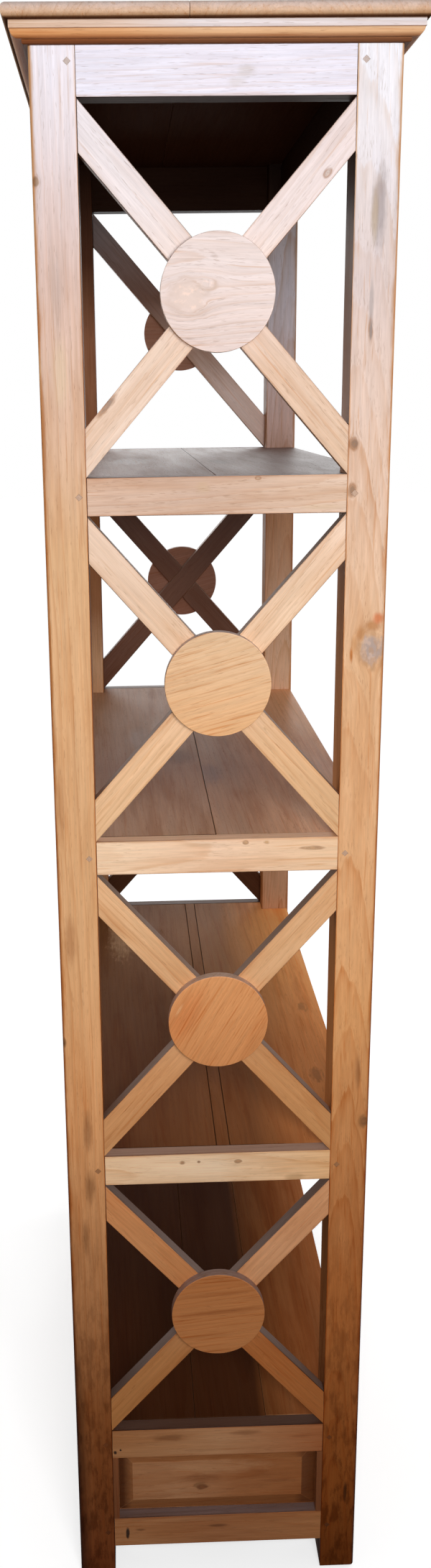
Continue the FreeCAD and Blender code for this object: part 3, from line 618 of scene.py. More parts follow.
POSTS = {                                # marks, pith, lean, strength of the rings
    "front": (FRONT_POST_MARKS, (0.035, 0.05), (0.015, 0.004), 0.6),
    "back": (BACK_POST_MARKS, (0.055, 0.012), (0.05, 0.006), 1.0),
}
for side, (marks, pith, lean, figure) in POSTS.items():
    for end, outward in ENDS.items():
        node = f"post_{side}_{end}"
        post, = lengths_of(node)
        ease(post)
        to_bar = cut_from_log(post, outward, UP, pith, lean)
        near = end == "right"
        inside = [(BACK if side == "front" else FRONT, POST_INSIDE_SHADE[side])]
        if not near:
            inside.append((RIGHT_END, FAR_POST_INSIDE_LIGHT_AND_SHADE[side]))
        # A darker, more orange band along the arrises, strongest on the outer side.
        banded_arris = arris_band(POST_HALF, POST_HALF, reach=0.0062, tint=(0.78, 0.54, 0.33), amount=0.95,
                    outer=1 if (side == "back") == near else -1)
        finish = wood(f"post wood {side} {end}", POST_FACES[side] if near else FAR_FACE_SHADED, POST_SIDE_SHADE, outward,
                      inside=inside, figure=figure, blemishes=in_bar(to_bar, marks) if near else (),
                      banded_arris=banded_arris, grime_and_shade=0.85, gloss=0.03)
        fit(post, node, finish)


# End rails
# Six cross rails join the posts at each end: top, three shelves and two of the plinth.
# They are flush with the posts and tenoned into them, of the same timber laid level.

RAIL_HALF_THICK = 0.015
# The near rails' faces, partly painted light: the top rail's pale lilac is a painted highlight.
RAIL_FACES = {
    "top_rail": ((-0.15, 0.74, 0.7, 0.775), (0.15, 0.73, 0.69, 0.765)),
    "shelf_1_rail": ((-0.15, 0.56, 0.37, 0.27), (-0.02, 0.48, 0.31, 0.22), (0.15, 0.57, 0.39, 0.28)),
    "shelf_2_rail": ((-0.15, 0.89, 0.62, 0.41), (0, 0.84, 0.56, 0.38), (0.15, 0.82, 0.53, 0.32)),
    "shelf_3_rail": ((-0.15, 0.98, 0.63, 0.37), (0, 0.99, 0.7, 0.46), (0.15, 0.96, 0.56, 0.28)),
    "upper_plinth_rail": ((-0.15, 0.53, 0.23, 0.09), (0, 0.62, 0.3, 0.14), (0.15, 0.5, 0.17, 0.06)),
    "lower_plinth_rail": ((-0.15, 0.58, 0.25, 0.1), (0, 0.5, 0.2, 0.08), (0.15, 0.55, 0.22, 0.08)),
}
RAIL_MARKS = {
    "top_rail": (stain((0.031, 2.006), 0.008, 0.012, (0.52, 0.45, 0.42), strength=0.5),
                 stain((0.02, 1.996), 0.006, 0.012, (0.55, 0.47, 0.43), strength=0.4)),
    "shelf_1_rail": (stain((-0.016, 1.571), 0.009, 0.01, (0.46, 0.3, 0.18), ragged=0.9, strength=0.55),
                     knot((0.047, 1.581), 0.0018, 0.003, (0.35, 0.24, 0.16)),
                     stain((0.12, 1.547), 0.004, 0.03, (0.5, 0.34, 0.2), strength=0.4)),
    "shelf_2_rail": (knot((0.035, 1.137), 0.0022, 0.003, (0.45, 0.27, 0.14)),
                     knot((0.061, 1.137), 0.002, 0.003, (0.45, 0.27, 0.14)),
                     knot((0.118, 1.128), 0.0022, 0.012, (0.4, 0.24, 0.13), ragged=0.3),
                     stain((-0.02, 1.136), 0.004, 0.03, (0.55, 0.38, 0.25), strength=0.4)),
    "shelf_3_rail": (knot((-0.047, 0.687), 0.0022, 0.003, (0.4, 0.2, 0.1)),
                     knot((-0.025, 0.688), 0.0016, 0.002, (0.3, 0.15, 0.08)),
                     knot((0.027, 0.687), 0.0024, 0.004, (0.45, 0.24, 0.12)),
                     stain((0.103, 0.66), 0.008, 0.016, (0.5, 0.27, 0.12), ragged=0.9, strength=0.5)),
    "upper_plinth_rail": (stain((-0.07, 0.243), 0.007, 0.03, (0.24, 0.085, 0.03), ragged=0.9),
                          stain((0.04, 0.247), 0.006, 0.025, (0.24, 0.085, 0.03), ragged=0.9, strength=0.5),
                          stain((0.115, 0.238), 0.003, 0.02, (0.3, 0.09, 0.03), strength=0.5),
                          hole((-0.1462, 0.22), 0.0034, 0.0024), hole((-0.1385, 0.224), 0.002, 0.0016)),
    "lower_plinth_rail": (stain((0.0, 0.085), 0.003, 0.018, (0.16, 0.055, 0.02), strength=0.7),
                          stain((-0.112, 0.082), 0.0025, 0.008, (0.16, 0.055, 0.02)),
                          hole((-0.131, 0.076), 0.012, 0.0028, ragged=0.5)),
}
# Painted light and shade on the rails' tops: lilac-grey painted reflections of the room above, dark painted shade on
# the upper plinth rail.
RAIL_TOPS_LIT_AND_SHADED = {"top_rail": (0.3, 0.18, 0.12), "shelf_1_rail": (0.3, 0.24, 0.24), "shelf_2_rail": (0.7, 0.37, 0.19),
             "shelf_3_rail": (0.38, 0.21, 0.14), "upper_plinth_rail": (0.085, 0.034, 0.018),
             "lower_plinth_rail": (0.22, 0.145, 0.13)}
# Painted shade on the rails' inner faces and undersides, nearly black under the cornice.
RAIL_INNER_SHADE = {"right": (0.22, 0.09, 0.04), "left": (0.1, 0.04, 0.018)}
TOP_RAIL_INNER_SHADE = (0.02, 0.007, 0.003)
RAIL_UNDER_SHADE = (0.03, 0.01, 0.004)
LEVEL_GLOSS = {"top_rail": 0.02, "shelf_1_rail": 0.2, "shelf_2_rail": 0.2, "shelf_3_rail": 0.12,
               "upper_plinth_rail": 0.15, "lower_plinth_rail": 0.15}


def rail_wear(rail, tint):
    low, high = corners(rail)
    return arris_band(RAIL_HALF_THICK, (high.z - low.z) / 2, reach=0.004, tint=tint, amount=0.6)


for end, outward in ENDS.items():
    for count, (level, tones) in enumerate(RAIL_FACES.items()):
        node = f"{end}_{level}"
        rail, = lengths_of(node)
        ease(rail)
        to_bar = cut_from_log(rail, outward, BACK, pith=(0.03 + 0.011 * count, 0.03 - 0.012 * count),
                              lean=(0.03, 0.01))
        near = end == "right"
        inner_shade = TOP_RAIL_INNER_SHADE if level == "top_rail" else RAIL_INNER_SHADE[end]
        finish = wood(f"{end} {level.replace('_', ' ')} wood", tones if near else FAR_FACE_SHADED,
                      ((-0.15, *inner_shade), (0.15, *inner_shade)), outward, axis="Y" if near else "Z",
                      top=RAIL_TOPS_LIT_AND_SHADED[level] if near else None, under=RAIL_UNDER_SHADE, gloss=LEVEL_GLOSS[level],
                      blemishes=in_bar(to_bar, RAIL_MARKS[level]) if near else (),
                      banded_arris=rail_wear(rail, (0.8, 0.62, 0.48)))
        fit(rail, node, finish)


# Long rails
# The same six levels run along the front and the back and carry the boards. They are set
# flush with the posts too, and light has reached them less, so they are a deeper brown.

LONG_FACE = ((0.0, 0.27, 0.094, 0.034), (0.3, 0.43, 0.165, 0.06), (0.7, 0.57, 0.25, 0.1), (1.2, 0.62, 0.31, 0.138),
             (2.052, 0.66, 0.41, 0.24))
# Painted shade on the long rails' other faces, nearly black under the cornice.
LONG_OTHER_SHADE = ((0.0, 0.05, 0.018, 0.008), (0.6, 0.13, 0.045, 0.017), (1.0, 0.2, 0.08, 0.035),
              (1.6, 0.22, 0.09, 0.045), (1.97, 0.02, 0.007, 0.003), (2.052, 0.02, 0.007, 0.003))

for count, level in enumerate(("lower_plinth", "upper_plinth", "shelf_3", "shelf_2", "shelf_1", "top")):
    node = f"long_{level}_rails"
    for rail, side, outward in zip(lengths_of(node), ("front", "back"), (FRONT, BACK)):
        rail.name = f"{side}_{level}_rail"
        ease(rail)
        cut_from_log(rail, outward, RIGHT_END, pith=(0.025 + 0.013 * count, 0.045 - 0.015 * count), lean=(0.02, 0.01))
        finish = wood(f"{side} {level.replace('_', ' ')} rail wood", LONG_FACE, LONG_OTHER_SHADE, outward, gloss=0.02,
                      banded_arris=rail_wear(rail, (0.75, 0.58, 0.44)))
        fit(rail, node, finish)


# Crossed braces
# Two flat bars cross in every open bay of the ends, halved over each other where they
# meet and let into the corners. The grain runs along each bar.

BRACE_HALF_THICK = 0.009
BRACE_HALF_WIDE = 0.018
BRACE_RISE = math.radians(48.83)
BRACE_WEAR = arris_band(BRACE_HALF_THICK, BRACE_HALF_WIDE, reach=0.003, tint=(0.8, 0.66, 0.54), amount=0.5)
# The braces' faces, partly painted light: the pale lilac high in the top bay is a painted highlight.
BAY_TONES = {
    1: {"front": ((1.6, 0.6, 0.41, 0.285), (1.7, 0.62, 0.43, 0.315), (1.88, 0.71, 0.62, 0.61),
                  (1.97, 0.72, 0.64, 0.65)),
        "back": ((1.6, 0.68, 0.5, 0.39), (1.72, 0.69, 0.52, 0.415), (1.86, 0.69, 0.57, 0.54), (1.97, 0.7, 0.58, 0.56))},
    2: {"front": ((1.15, 0.67, 0.39, 0.2), (1.25, 0.69, 0.41, 0.22), (1.45, 0.65, 0.45, 0.32),
                  (1.53, 0.65, 0.46, 0.34)),
        "back": ((1.15, 0.76, 0.46, 0.25), (1.25, 0.76, 0.47, 0.27), (1.45, 0.7, 0.49, 0.34), (1.53, 0.71, 0.5, 0.37))},
    3: {"front": ((0.71, 0.63, 0.285, 0.105), (0.82, 0.65, 0.295, 0.115), (1.0, 0.78, 0.45, 0.235),
                  (1.09, 0.79, 0.46, 0.245)),
        "back": ((0.71, 0.7, 0.33, 0.135), (0.82, 0.72, 0.34, 0.145), (1.0, 0.78, 0.45, 0.235),
                 (1.09, 0.79, 0.46, 0.245))},
    4: {"front": ((0.27, 0.5, 0.16, 0.04), (0.38, 0.53, 0.17, 0.045), (0.56, 0.72, 0.3, 0.115),
                  (0.65, 0.75, 0.31, 0.12)),
        "back": ((0.27, 0.58, 0.235, 0.072), (0.38, 0.6, 0.245, 0.082), (0.56, 0.82, 0.4, 0.2),
                 (0.65, 0.84, 0.42, 0.21))},
}
# Painted light on the braces: lilac-grey painted reflections of the ceiling on their upper sides, painted shade on
# their lower sides.
BRACE_TOP_REFLECTIONS = {1: (0.52, 0.42, 0.4), 2: (0.5, 0.34, 0.27), 3: (0.42, 0.27, 0.2), 4: (0.3, 0.19, 0.15)}
BRACE_UNDER_SHADE = {1: (0.36, 0.17, 0.075), 2: (0.34, 0.15, 0.06), 3: (0.22, 0.08, 0.03), 4: (0.12, 0.04, 0.015)}
# Painted light and shade on the far braces' faces that look to the near end: a pale painted patch of light in the top
# bay, dark painted shade elsewhere.
FAR_BRACE_INSIDE_LIGHT_AND_SHADE = {
    1: ((1.6, 0.92, 0.68, 0.58), (1.68, 0.9, 0.66, 0.57), (1.75, 0.52, 0.32, 0.24), (1.84, 0.17, 0.07, 0.04),
        (1.96, 0.17, 0.12, 0.11)),
    2: ((1.15, 0.2, 0.09, 0.055), (1.34, 0.17, 0.07, 0.04), (1.53, 0.08, 0.026, 0.012)),
    3: ((0.71, 0.1, 0.036, 0.015), (1.09, 0.12, 0.045, 0.02)),
    4: ((0.27, 0.06, 0.02, 0.008), (0.65, 0.09, 0.03, 0.012)),
}
BRACE_MARKS = {
    (1, "back"): (knot((-0.124, 1.664), 0.003, 0.013, (0.22, 0.14, 0.1), ragged=0.6),
                  knot((0.12, 1.905), 0.003, 0.005, (0.5, 0.4, 0.36))),
}

for end, outward in ENDS.items():
    for bay in (1, 2, 3, 4):
        for towards, side in (("back", 1), ("front", -1)):
            node = f"{end}_brace_{bay}_rising_{towards}"
            brace, = lengths_of(node)
            ease(brace)
            along = Vector((0, side * math.cos(BRACE_RISE), math.sin(BRACE_RISE)))
            to_bar = cut_from_log(brace, outward, along, pith=(0.02 + 0.013 * bay, 0.012 + 0.022 * side),
                                  lean=(0.02, 0.012))
            near = end == "right"
            finish = wood(f"{end} brace {bay} wood rising {towards}", BAY_TONES[bay][towards] if near else FAR_FACE_SHADED,
                          FAR_BRACE_INSIDE_LIGHT_AND_SHADE[bay], outward, top=BRACE_TOP_REFLECTIONS[bay], under=BRACE_UNDER_SHADE[bay],
                          spacing=0.0036, figure=0.5, gloss=0.15, banded_arris=BRACE_WEAR,
                          blemishes=in_bar(to_bar, BRACE_MARKS.get((bay, towards), ())) if near else ())
            fit(brace, node, finish)


# Turned discs
# A round of wood with a rounded rim is planted over every crossing. It is faced and
# rounded on the lathe, and a square pin behind holds it in the two braces.

DISC_RADIUS = 0.0635
DISC_THICK = 0.012
RIM_ROUND = 0.001
PIN_SIDE = 0.014
PIN_LONG = 0.012
BRACE_FACE = 0.42
DISC_SIDES = 128
RIM_STEPS = 3
SAME_WAY = 0.999                         # cosine from which a face looks the same way
QUAD = 4                                 # a face with more corners is a round one
PIN_OVERLAP = 0.0005                     # how far the pin runs into the disc
# Each touch of the tool on the face: how far further in, and how far down
TOOL_TURNS = ((0.0006, 0), (0.0034, 0.00004), (0.012, 0.00004), (0.018, 0.00004), (0.018, 0.00004))
# Painted highlight: a paler band all round the rim's arris.
DISC_RIM_HIGHLIGHT = arris_band(DISC_THICK, DISC_RADIUS, reach=0.0016, tint=(1.14, 1.12, 1.1), amount=1.0, turned=True)
# The face tones are partly painted light: the top disc's pale lilac is a painted highlight, and the lower discs are
# darker as painted shade.
DISC_FACES = {                           # tones of the face, way of the grain, pith, ring spacing
    1: (((1.72, 0.62, 0.485, 0.44), (1.84, 0.66, 0.55, 0.52)), BACK, (0.024, 0.03), 0.0052),
    2: (((1.28, 0.7, 0.385, 0.185), (1.4, 0.63, 0.415, 0.25)), Vector((0, 0.966, 0.259)), (0.02, 0.07), 0.0036),
    3: (((0.84, 0.69, 0.285, 0.105), (0.96, 0.75, 0.33, 0.13)), Vector((0, 0.5, 0.866)), (0.02, 0.08), 0.0036),
    4: (((0.4, 0.61, 0.235, 0.08), (0.52, 0.56, 0.205, 0.065)), Vector((0, 0.996, 0.087)), (0.03, 0.06), 0.005),
}
# Painted light on the discs' rims: a lilac-grey painted reflection where they look up, painted shade on the rest of the
# rim.
DISC_TOP_REFLECTIONS = {1: (0.62, 0.5, 0.46), 2: (0.6, 0.45, 0.4), 3: (0.55, 0.36, 0.27), 4: (0.32, 0.2, 0.16)}
DISC_EDGE_SHADE = {1: ((1.7, 0.46, 0.23, 0.1), (1.8, 0.52, 0.33, 0.22)), 2: ((1.2, 0.4, 0.17, 0.06), (1.4, 0.52, 0.3, 0.17)),
              3: ((0.8, 0.34, 0.11, 0.035), (1.0, 0.45, 0.2, 0.09)),
              4: ((0.4, 0.22, 0.07, 0.022), (0.6, 0.3, 0.13, 0.07))}
FAR_DISC_EDGE_SHADE = ((0.3, 0.14, 0.058, 0.036), (1.2, 0.35, 0.155, 0.098), (2.0, 0.38, 0.17, 0.1))
DISC_MARKS = {
    1: (knot((-0.033, 1.779), 0.016, 0.02, (0.58, 0.44, 0.37), rim=(0.5, 0.36, 0.29), strength=0.55),
        knot((-0.012, 1.791), 0.0055, 0.009, (0.62, 0.5, 0.46), rim=(0.45, 0.31, 0.23), ragged=0.4, strength=0.5)),
    2: (stain((-0.004, 1.374), 0.005, 0.012, (0.56, 0.32, 0.17), strength=0.4),
        stain((0.03, 1.366), 0.004, 0.012, (0.58, 0.34, 0.18), strength=0.35)),
    3: (stain((-0.044, 0.905), 0.02, 0.055, (0.62, 0.2, 0.06), ragged=0.4),
        stain((-0.05, 0.917), 0.002, 0.012, (0.85, 0.46, 0.22), ragged=0.3, strength=0.7)),
    4: (stain((0.0, 0.461), 0.0045, 0.08, (0.38, 0.12, 0.035), ragged=0.5, strength=0.7),
        stain((-0.01, 0.489), 0.004, 0.075, (0.42, 0.14, 0.042), ragged=0.5, strength=0.55)),
}


def pick_round_face(piece, direction):
    """Selects the one full round face that looks in a direction, and opens the piece in edit mode."""
    leave_only(piece)
    bpy.ops.object.mode_set(mode="EDIT")
    bpy.ops.mesh.select_mode(type="FACE")
    bpy.ops.mesh.select_all(action="DESELECT")
    bpy.ops.object.mode_set(mode="OBJECT")
    for face in piece.data.polygons:
        face.select = face.normal.dot(direction) > SAME_WAY and len(face.vertices) > QUAD
    bpy.ops.object.mode_set(mode="EDIT")


def turned_disc():
    """A disc turned on the lathe, its middle on the floor's middle, its face towards the right end."""
    bpy.ops.object.select_all(action="DESELECT")
    bpy.ops.mesh.primitive_cylinder_add(vertices=DISC_SIDES, radius=DISC_RADIUS, depth=DISC_THICK,
                                        end_fill_type="NGON", location=(BRACE_FACE + DISC_THICK / 2, 0, 0),
                                        rotation=(0, math.pi / 2, 0))
    disc = bpy.context.object
    bpy.ops.object.transform_apply(location=True, rotation=True, scale=True)
    pick_round_face(disc, RIGHT_END)
    bpy.ops.mesh.bevel(offset=RIM_ROUND, segments=RIM_STEPS, profile=0.5, affect="EDGES")
    bpy.ops.object.mode_set(mode="OBJECT")
    for step, sunk in TOOL_TURNS:
        pick_round_face(disc, RIGHT_END)
        bpy.ops.mesh.inset(thickness=step)
        bpy.ops.transform.translate(value=RIGHT_END * -sunk)
        bpy.ops.object.mode_set(mode="OBJECT")
    bpy.ops.object.select_all(action="DESELECT")
    pin_middle = BRACE_FACE - PIN_LONG / 2 + PIN_OVERLAP
    bpy.ops.mesh.primitive_cube_add(size=1, location=(pin_middle, 0, 0),
                                    scale=(PIN_LONG + 2 * PIN_OVERLAP, PIN_SIDE, PIN_SIDE))
    pin = bpy.context.object
    bpy.ops.object.transform_apply(location=True, rotation=True, scale=True)
    leave_only(disc)
    union = disc.modifiers.new("pin", "BOOLEAN")
    union.operation = "UNION"
    union.object = pin
    bpy.ops.object.modifier_apply(modifier=union.name)
    bpy.data.objects.remove(pin)
    bpy.ops.object.shade_smooth_by_angle(angle=SHARPEST_SMOOTH)
    flat_face = disc.modifiers.new("flat face", "WEIGHTED_NORMAL")
    flat_face.keep_sharp = True
    bpy.ops.object.modifier_apply(modifier=flat_face.name)
    return disc


pattern = turned_disc()
for end, outward in ENDS.items():
    for bay, (tones, grain, pith, spacing) in DISC_FACES.items():
        node = f"{end}_disc_{bay}"
        low, high = (Vector(corner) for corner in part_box(node))
        disc = bpy.data.objects.new(f"{node}_finished", pattern.data.copy())
        bpy.context.scene.collection.objects.link(disc)
        turned_round = Matrix.Rotation(0 if end == "right" else math.pi, 4, "Z")
        disc.data.transform(Matrix.Translation((0, 0, (low.z + high.z) / 2)) @ turned_round)
        to_bar = cut_from_log(disc, outward, grain, pith, lean=(0.03, 0.0))
        near = end == "right"
        finish = wood(f"{end} disc {bay} wood", tones if near else FAR_FACE_SHADED, DISC_EDGE_SHADE[bay] if near else FAR_DISC_EDGE_SHADE,
                      outward, facing=(0.3, 0.75), top=DISC_TOP_REFLECTIONS[bay], spacing=spacing, figure=0.7, streaky=0.8,
                      clouds=0.4, gloss=0.12, banded_arris=DISC_RIM_HIGHLIGHT,
                      blemishes=in_bar(to_bar, DISC_MARKS[bay]) if near else ())
        fit(disc, node, finish)
bpy.data.objects.remove(pattern)


# Plinth panels
# A fielded panel closes each side of the plinth. It floats in grooves of the rails above
# and below, its margins bevelled down from the field.

PANEL_EASE = 0.0005
BEVEL_TURN = math.radians(8)             # the bevels turn down from the field by more than this
FIELD_LOOKS = (0.972, 0.998)
PANEL_TONES = ((-0.15, 0.52, 0.22, 0.09), (-0.06, 0.6, 0.28, 0.13), (0.03, 0.46, 0.17, 0.06), (0.15, 0.44, 0.15, 0.045))
# Painted shade on the bevelled margins, darkest at the ends beside the posts.
PANEL_MARGIN_SHADE = ((-0.15, 0.12, 0.037, 0.012), (-0.136, 0.13, 0.04, 0.013), (-0.124, 0.38, 0.145, 0.05),
                 (0.112, 0.36, 0.125, 0.038), (0.124, 0.2, 0.064, 0.02), (0.15, 0.17, 0.054, 0.017))
PANEL_MARKS = (
    knot((-0.022, 0.143), 0.006, 0.01, (0.2, 0.065, 0.022), ragged=0.8),
    stain((-0.02, 0.158), 0.01, 0.03, (0.28, 0.09, 0.03), ragged=0.9, strength=0.5),
    stain((-0.085, 0.13), 0.006, 0.045, (0.34, 0.12, 0.045), ragged=0.8, strength=0.4),
    stain((0.088, 0.15), 0.004, 0.03, (0.28, 0.09, 0.03), ragged=0.7, strength=0.4),
    stain((0.0, 0.178), 0.014, 0.08, (0.66, 0.32, 0.15), ragged=0.7),
)
PLAIN_PANEL_TONES = ((0.1, 0.3, 0.11, 0.04), (0.22, 0.36, 0.14, 0.05))
# Painted shade on the other panels' bevelled margins.
PLAIN_PANEL_MARGIN_SHADE = ((0.1, 0.16, 0.055, 0.02), (0.22, 0.18, 0.06, 0.022))

for side, outward, along in (("right", RIGHT_END, BACK), ("left", LEFT_END, BACK),
                             ("front", FRONT, RIGHT_END), ("back", BACK, RIGHT_END)):
    node = f"{side}_plinth_panel"
    panel, = lengths_of(node)
    ease(panel, PANEL_EASE, sharpest=BEVEL_TURN)
    to_bar = cut_from_log(panel, outward, along, pith=(0.045, 0.01), lean=(0.06, 0.0))
    near = side == "right"
    finish = wood(f"{side} plinth panel wood", PANEL_TONES if near else PLAIN_PANEL_TONES,
                  PANEL_MARGIN_SHADE if near else PLAIN_PANEL_MARGIN_SHADE, outward, axis="Y" if near else "Z",
                  facing=FIELD_LOOKS, spacing=0.005, gloss=0.15,
                  blemishes=in_bar(to_bar, PANEL_MARKS) if near else ())
    fit(panel, node, finish)


# Panel stops
# Narrow strips stand beside the posts in front of the panels and hide the gap
# that the panel needs to swell.

STOP_TONE = ((0.0, 0.2, 0.062, 0.02), (0.3, 0.3, 0.1, 0.034))
STOP_EASE = 0.0008
stop_wood = wood("stop wood", STOP_TONE, clouds=0.2, gloss=0.15)
for count, stop in enumerate(lengths_of("panel_stops")):
    stop.name = f"panel_stop_{count + 1}"
    ease(stop, STOP_EASE)
    cut_from_log(stop, RIGHT_END, UP, pith=(0.03, 0.02 + 0.004 * count))
    fit(stop, "panel_stops", stop_wood)


# Shelf boards
# Wide boards lie side by side on the rails, their edges butted with a fine open joint.
# Their tops are duller on the lower shelves and carry painted light and shade: a lilac painted reflection on the top
# shelf, painted shade on the lower shelves that is nearly black on the bottom boards, and painted shade on the
# undersides.

# Painted shade: the boards' tops are painted darker than the faces, nearly black on the bottom boards.
SHELF_TONES = {
    "shelf_boards_1": ((-0.4, 0.24, 0.135, 0.1), (0.4, 0.24, 0.145, 0.115)),
    "shelf_boards_2": ((-0.4, 0.52, 0.27, 0.15), (-0.1, 0.4, 0.2, 0.11), (0.12, 0.3, 0.13, 0.068),
                       (0.4, 0.47, 0.25, 0.14)),
    "shelf_boards_3": ((-0.4, 0.34, 0.145, 0.06), (-0.1, 0.28, 0.112, 0.042), (0.15, 0.2, 0.068, 0.022),
                       (0.4, 0.2, 0.068, 0.022)),
    "bottom_boards": ((-0.4, 0.055, 0.016, 0.005), (0.1, 0.05, 0.014, 0.004), (0.4, 0.06, 0.017, 0.005)),
}
# Painted light and shade across the boards: a lilac painted reflection at the front of the top shelf, and the lower
# boards lighter towards the back and in painted shade towards the front.
SHELF_LIGHT_ACROSS = {
    "shelf_boards_1": ((-0.2, 2.0, 2.2, 2.4), (-0.03, 0.85, 0.8, 0.8), (0.2, 0.45, 0.4, 0.4)),
    "shelf_boards_2": ((-0.2, 1, 1, 1), (0.04, 0.9, 0.82, 0.75), (0.09, 1.3, 1.2, 1.1), (0.2, 1.9, 1.8, 1.6)),
    "shelf_boards_3": ((-0.2, 0.6, 0.56, 0.48), (-0.08, 0.8, 0.76, 0.7), (0.06, 1.15, 1.15, 1.05),
                       (0.2, 4.3, 4.4, 3.7)),
    "bottom_boards": ((-0.2, 0.9, 0.85, 0.8), (0.06, 1, 1, 1), (0.075, 3.0, 3.4, 3.2), (0.2, 9.6, 11.0, 11.5)),
}
SHELF_GLOSS = {"shelf_boards_1": 0.45, "shelf_boards_2": 0.06, "shelf_boards_3": 0.03, "bottom_boards": 0.02}
# Painted shade on the boards' undersides.
SHELF_UNDER_SHADE = ((-0.4, 0.1, 0.038, 0.016), (0.4, 0.1, 0.038, 0.016))
SHELF_MARKS = {
    # The pale lilac patch on the top shelf's front board is a painted reflection.
    "shelf_boards_1": ((stain((0.05, -0.1, 1.584), 0.03, 0.1, (0.66, 0.58, 0.57), ragged=1.3, strength=0.75),),
                       (stain((0.1, 0.03, 1.584), 0.02, 0.08, (0.1, 0.06, 0.05), strength=0.5),)),
    "shelf_boards_2": ((stain((0.06, -0.03, 1.142), 0.03, 0.05, (0.12, 0.045, 0.025), strength=0.5),
                        stain((-0.05, -0.09, 1.142), 0.02, 0.08, (0.42, 0.3, 0.25), strength=0.4)),
                       (stain((0.15, 0.012, 1.142), 0.02, 0.06, (0.14, 0.07, 0.06), strength=0.5),)),
    "shelf_boards_3": ((stain((-0.27, -0.125, 0.7), 0.028, 0.12, (0.62, 0.35, 0.18), ragged=1.3),), (),
                       (knot((0.235, 0.161, 0.7), 0.008, 0.016, (0.22, 0.08, 0.03), rim=(0.14, 0.05, 0.02),
                             ragged=0.9, strength=0.55),
                        knot((0.03, 0.17, 0.7), 0.006, 0.012, (0.22, 0.08, 0.03), rim=(0.14, 0.05, 0.02), ragged=0.9,
                             strength=0.4))),
}
BOARD_EASE = 0.0009

for count, (node, tones) in enumerate(SHELF_TONES.items()):
    for turn, board in enumerate(lengths_of(node)):
        board.name = f"{node}_{turn + 1}"
        ease(board, BOARD_EASE)
        to_bar = cut_from_log(board, UP, RIGHT_END, pith=(0.04 + 0.02 * turn, 0.02 - 0.03 * turn + 0.01 * count),
                              lean=(0.02, 0.02))
        marks = dict(enumerate(SHELF_MARKS.get(node, ()))).get(turn, ())
        finish = wood(board.name.replace("_", " ") + " wood", tones, SHELF_UNDER_SHADE, UP, axis="X",
                      across=SHELF_LIGHT_ACROSS[node], spacing=0.0055, clouds=0.9, gloss=SHELF_GLOSS[node],
                      blemishes=in_bar(to_bar, marks))
        fit(board, node, finish)


# Top boards
# Two boards with a full round edge lie on the cornice. Their tone by height is painted light:
# nearly black on the underside as painted shade, pale lilac over the round edge as a painted highlight.

# Painted light and shade by height: nearly black underneath, pale lilac over the top of the round edge.
TOP_LIGHT_AND_SHADE = ((2.052, 0.048, 0.016, 0.007), (2.0532, 0.11, 0.045, 0.02), (2.0545, 0.42, 0.24, 0.13),
            (2.0575, 0.61, 0.4, 0.27), (2.062, 0.62, 0.45, 0.37), (2.068, 0.62, 0.5, 0.46))
TOP_EASE = 0.0006
SHORTEST_TOP_EASED = 0.3                 # leaves the short steps of the round edge alone

for count, side in enumerate(("front", "back")):
    node = f"{side}_top_board"
    board, = lengths_of(node)
    ease(board, TOP_EASE, SHORTEST_TOP_EASED)
    cut_from_log(board, UP, RIGHT_END, pith=(0.05, 0.04 - 0.07 * count), lean=(0.01, 0.01))
    fit(board, node, wood(f"{side} top board wood", TOP_LIGHT_AND_SHADE, spacing=0.005, clouds=0.5, gloss=0.0005))


# Cornice
# Four lengths of moulding mitred at the corners, run with a fillet, an ovolo and a bead,
# close the joint between the top rails and the boards.

# Painted light and shade across the moulding's profile: dark painted shade at its foot and under the top boards, a dark
# painted line below the fillet, and a pale lilac painted highlight on the fillet.
CORNICE_LIGHT_AND_SHADE = ((2.032, 0.1, 0.034, 0.012), (2.0352, 0.17, 0.062, 0.024), (2.0368, 0.42, 0.19, 0.085),
                (2.039, 0.63, 0.36, 0.19), (2.0432, 0.62, 0.385, 0.225), (2.0438, 0.32, 0.17, 0.09),
                (2.0446, 0.66, 0.56, 0.54), (2.0505, 0.68, 0.61, 0.61), (2.052, 0.22, 0.12, 0.07))
# The fillet's painted highlight turns golden towards the front.
CORNICE_HIGHLIGHT_ACROSS = ((-0.23, 1.0, 0.78, 0.56), (-0.1, 1.0, 0.86, 0.72), (-0.02, 1, 1, 1), (0.23, 1, 1, 1))

for node, titles, along in (("long_cornice_mouldings", ("front", "back"), RIGHT_END),
                            ("end_cornice_mouldings", ("left", "right"), BACK)):
    for title, moulding in zip(titles, lengths_of(node)):
        moulding.name = f"{title}_cornice_moulding"
        leave_only(moulding)
        bpy.ops.object.shade_smooth_by_angle(angle=SHARPEST_SMOOTH)
        cut_from_log(moulding, UP, along, pith=(0.03, 0.02), lean=(0.01, 0.0))
        finish = wood(f"{title} cornice wood", CORNICE_LIGHT_AND_SHADE, across=CORNICE_HIGHLIGHT_ACROSS, spacing=0.003,
                      clouds=0.3, gloss=0.05)
        fit(moulding, node, finish)


# Pegs
# Small square pegs are driven cornerwise through the joints of the end rails, and trimmed
# flush. Only their darker end grain shows.

# Partly painted light: the pale lilac high up is a painted highlight, and the darker tones low down are partly painted
# shade.
PEG_TONE = ((0.0, 0.12, 0.034, 0.01), (0.3, 0.26, 0.08, 0.024), (0.7, 0.46, 0.22, 0.1), (1.14, 0.56, 0.37, 0.26),
            (1.56, 0.5, 0.34, 0.25), (2.0, 0.56, 0.47, 0.44))
SPECK_WAVES = (1200, 1200, 1200)
SPECK_LIMITS = (0.45, 0.62)
SPECK_TINT = (0.55, 0.42, 0.34, 1)
SPECK_DEPTH = 0.0003

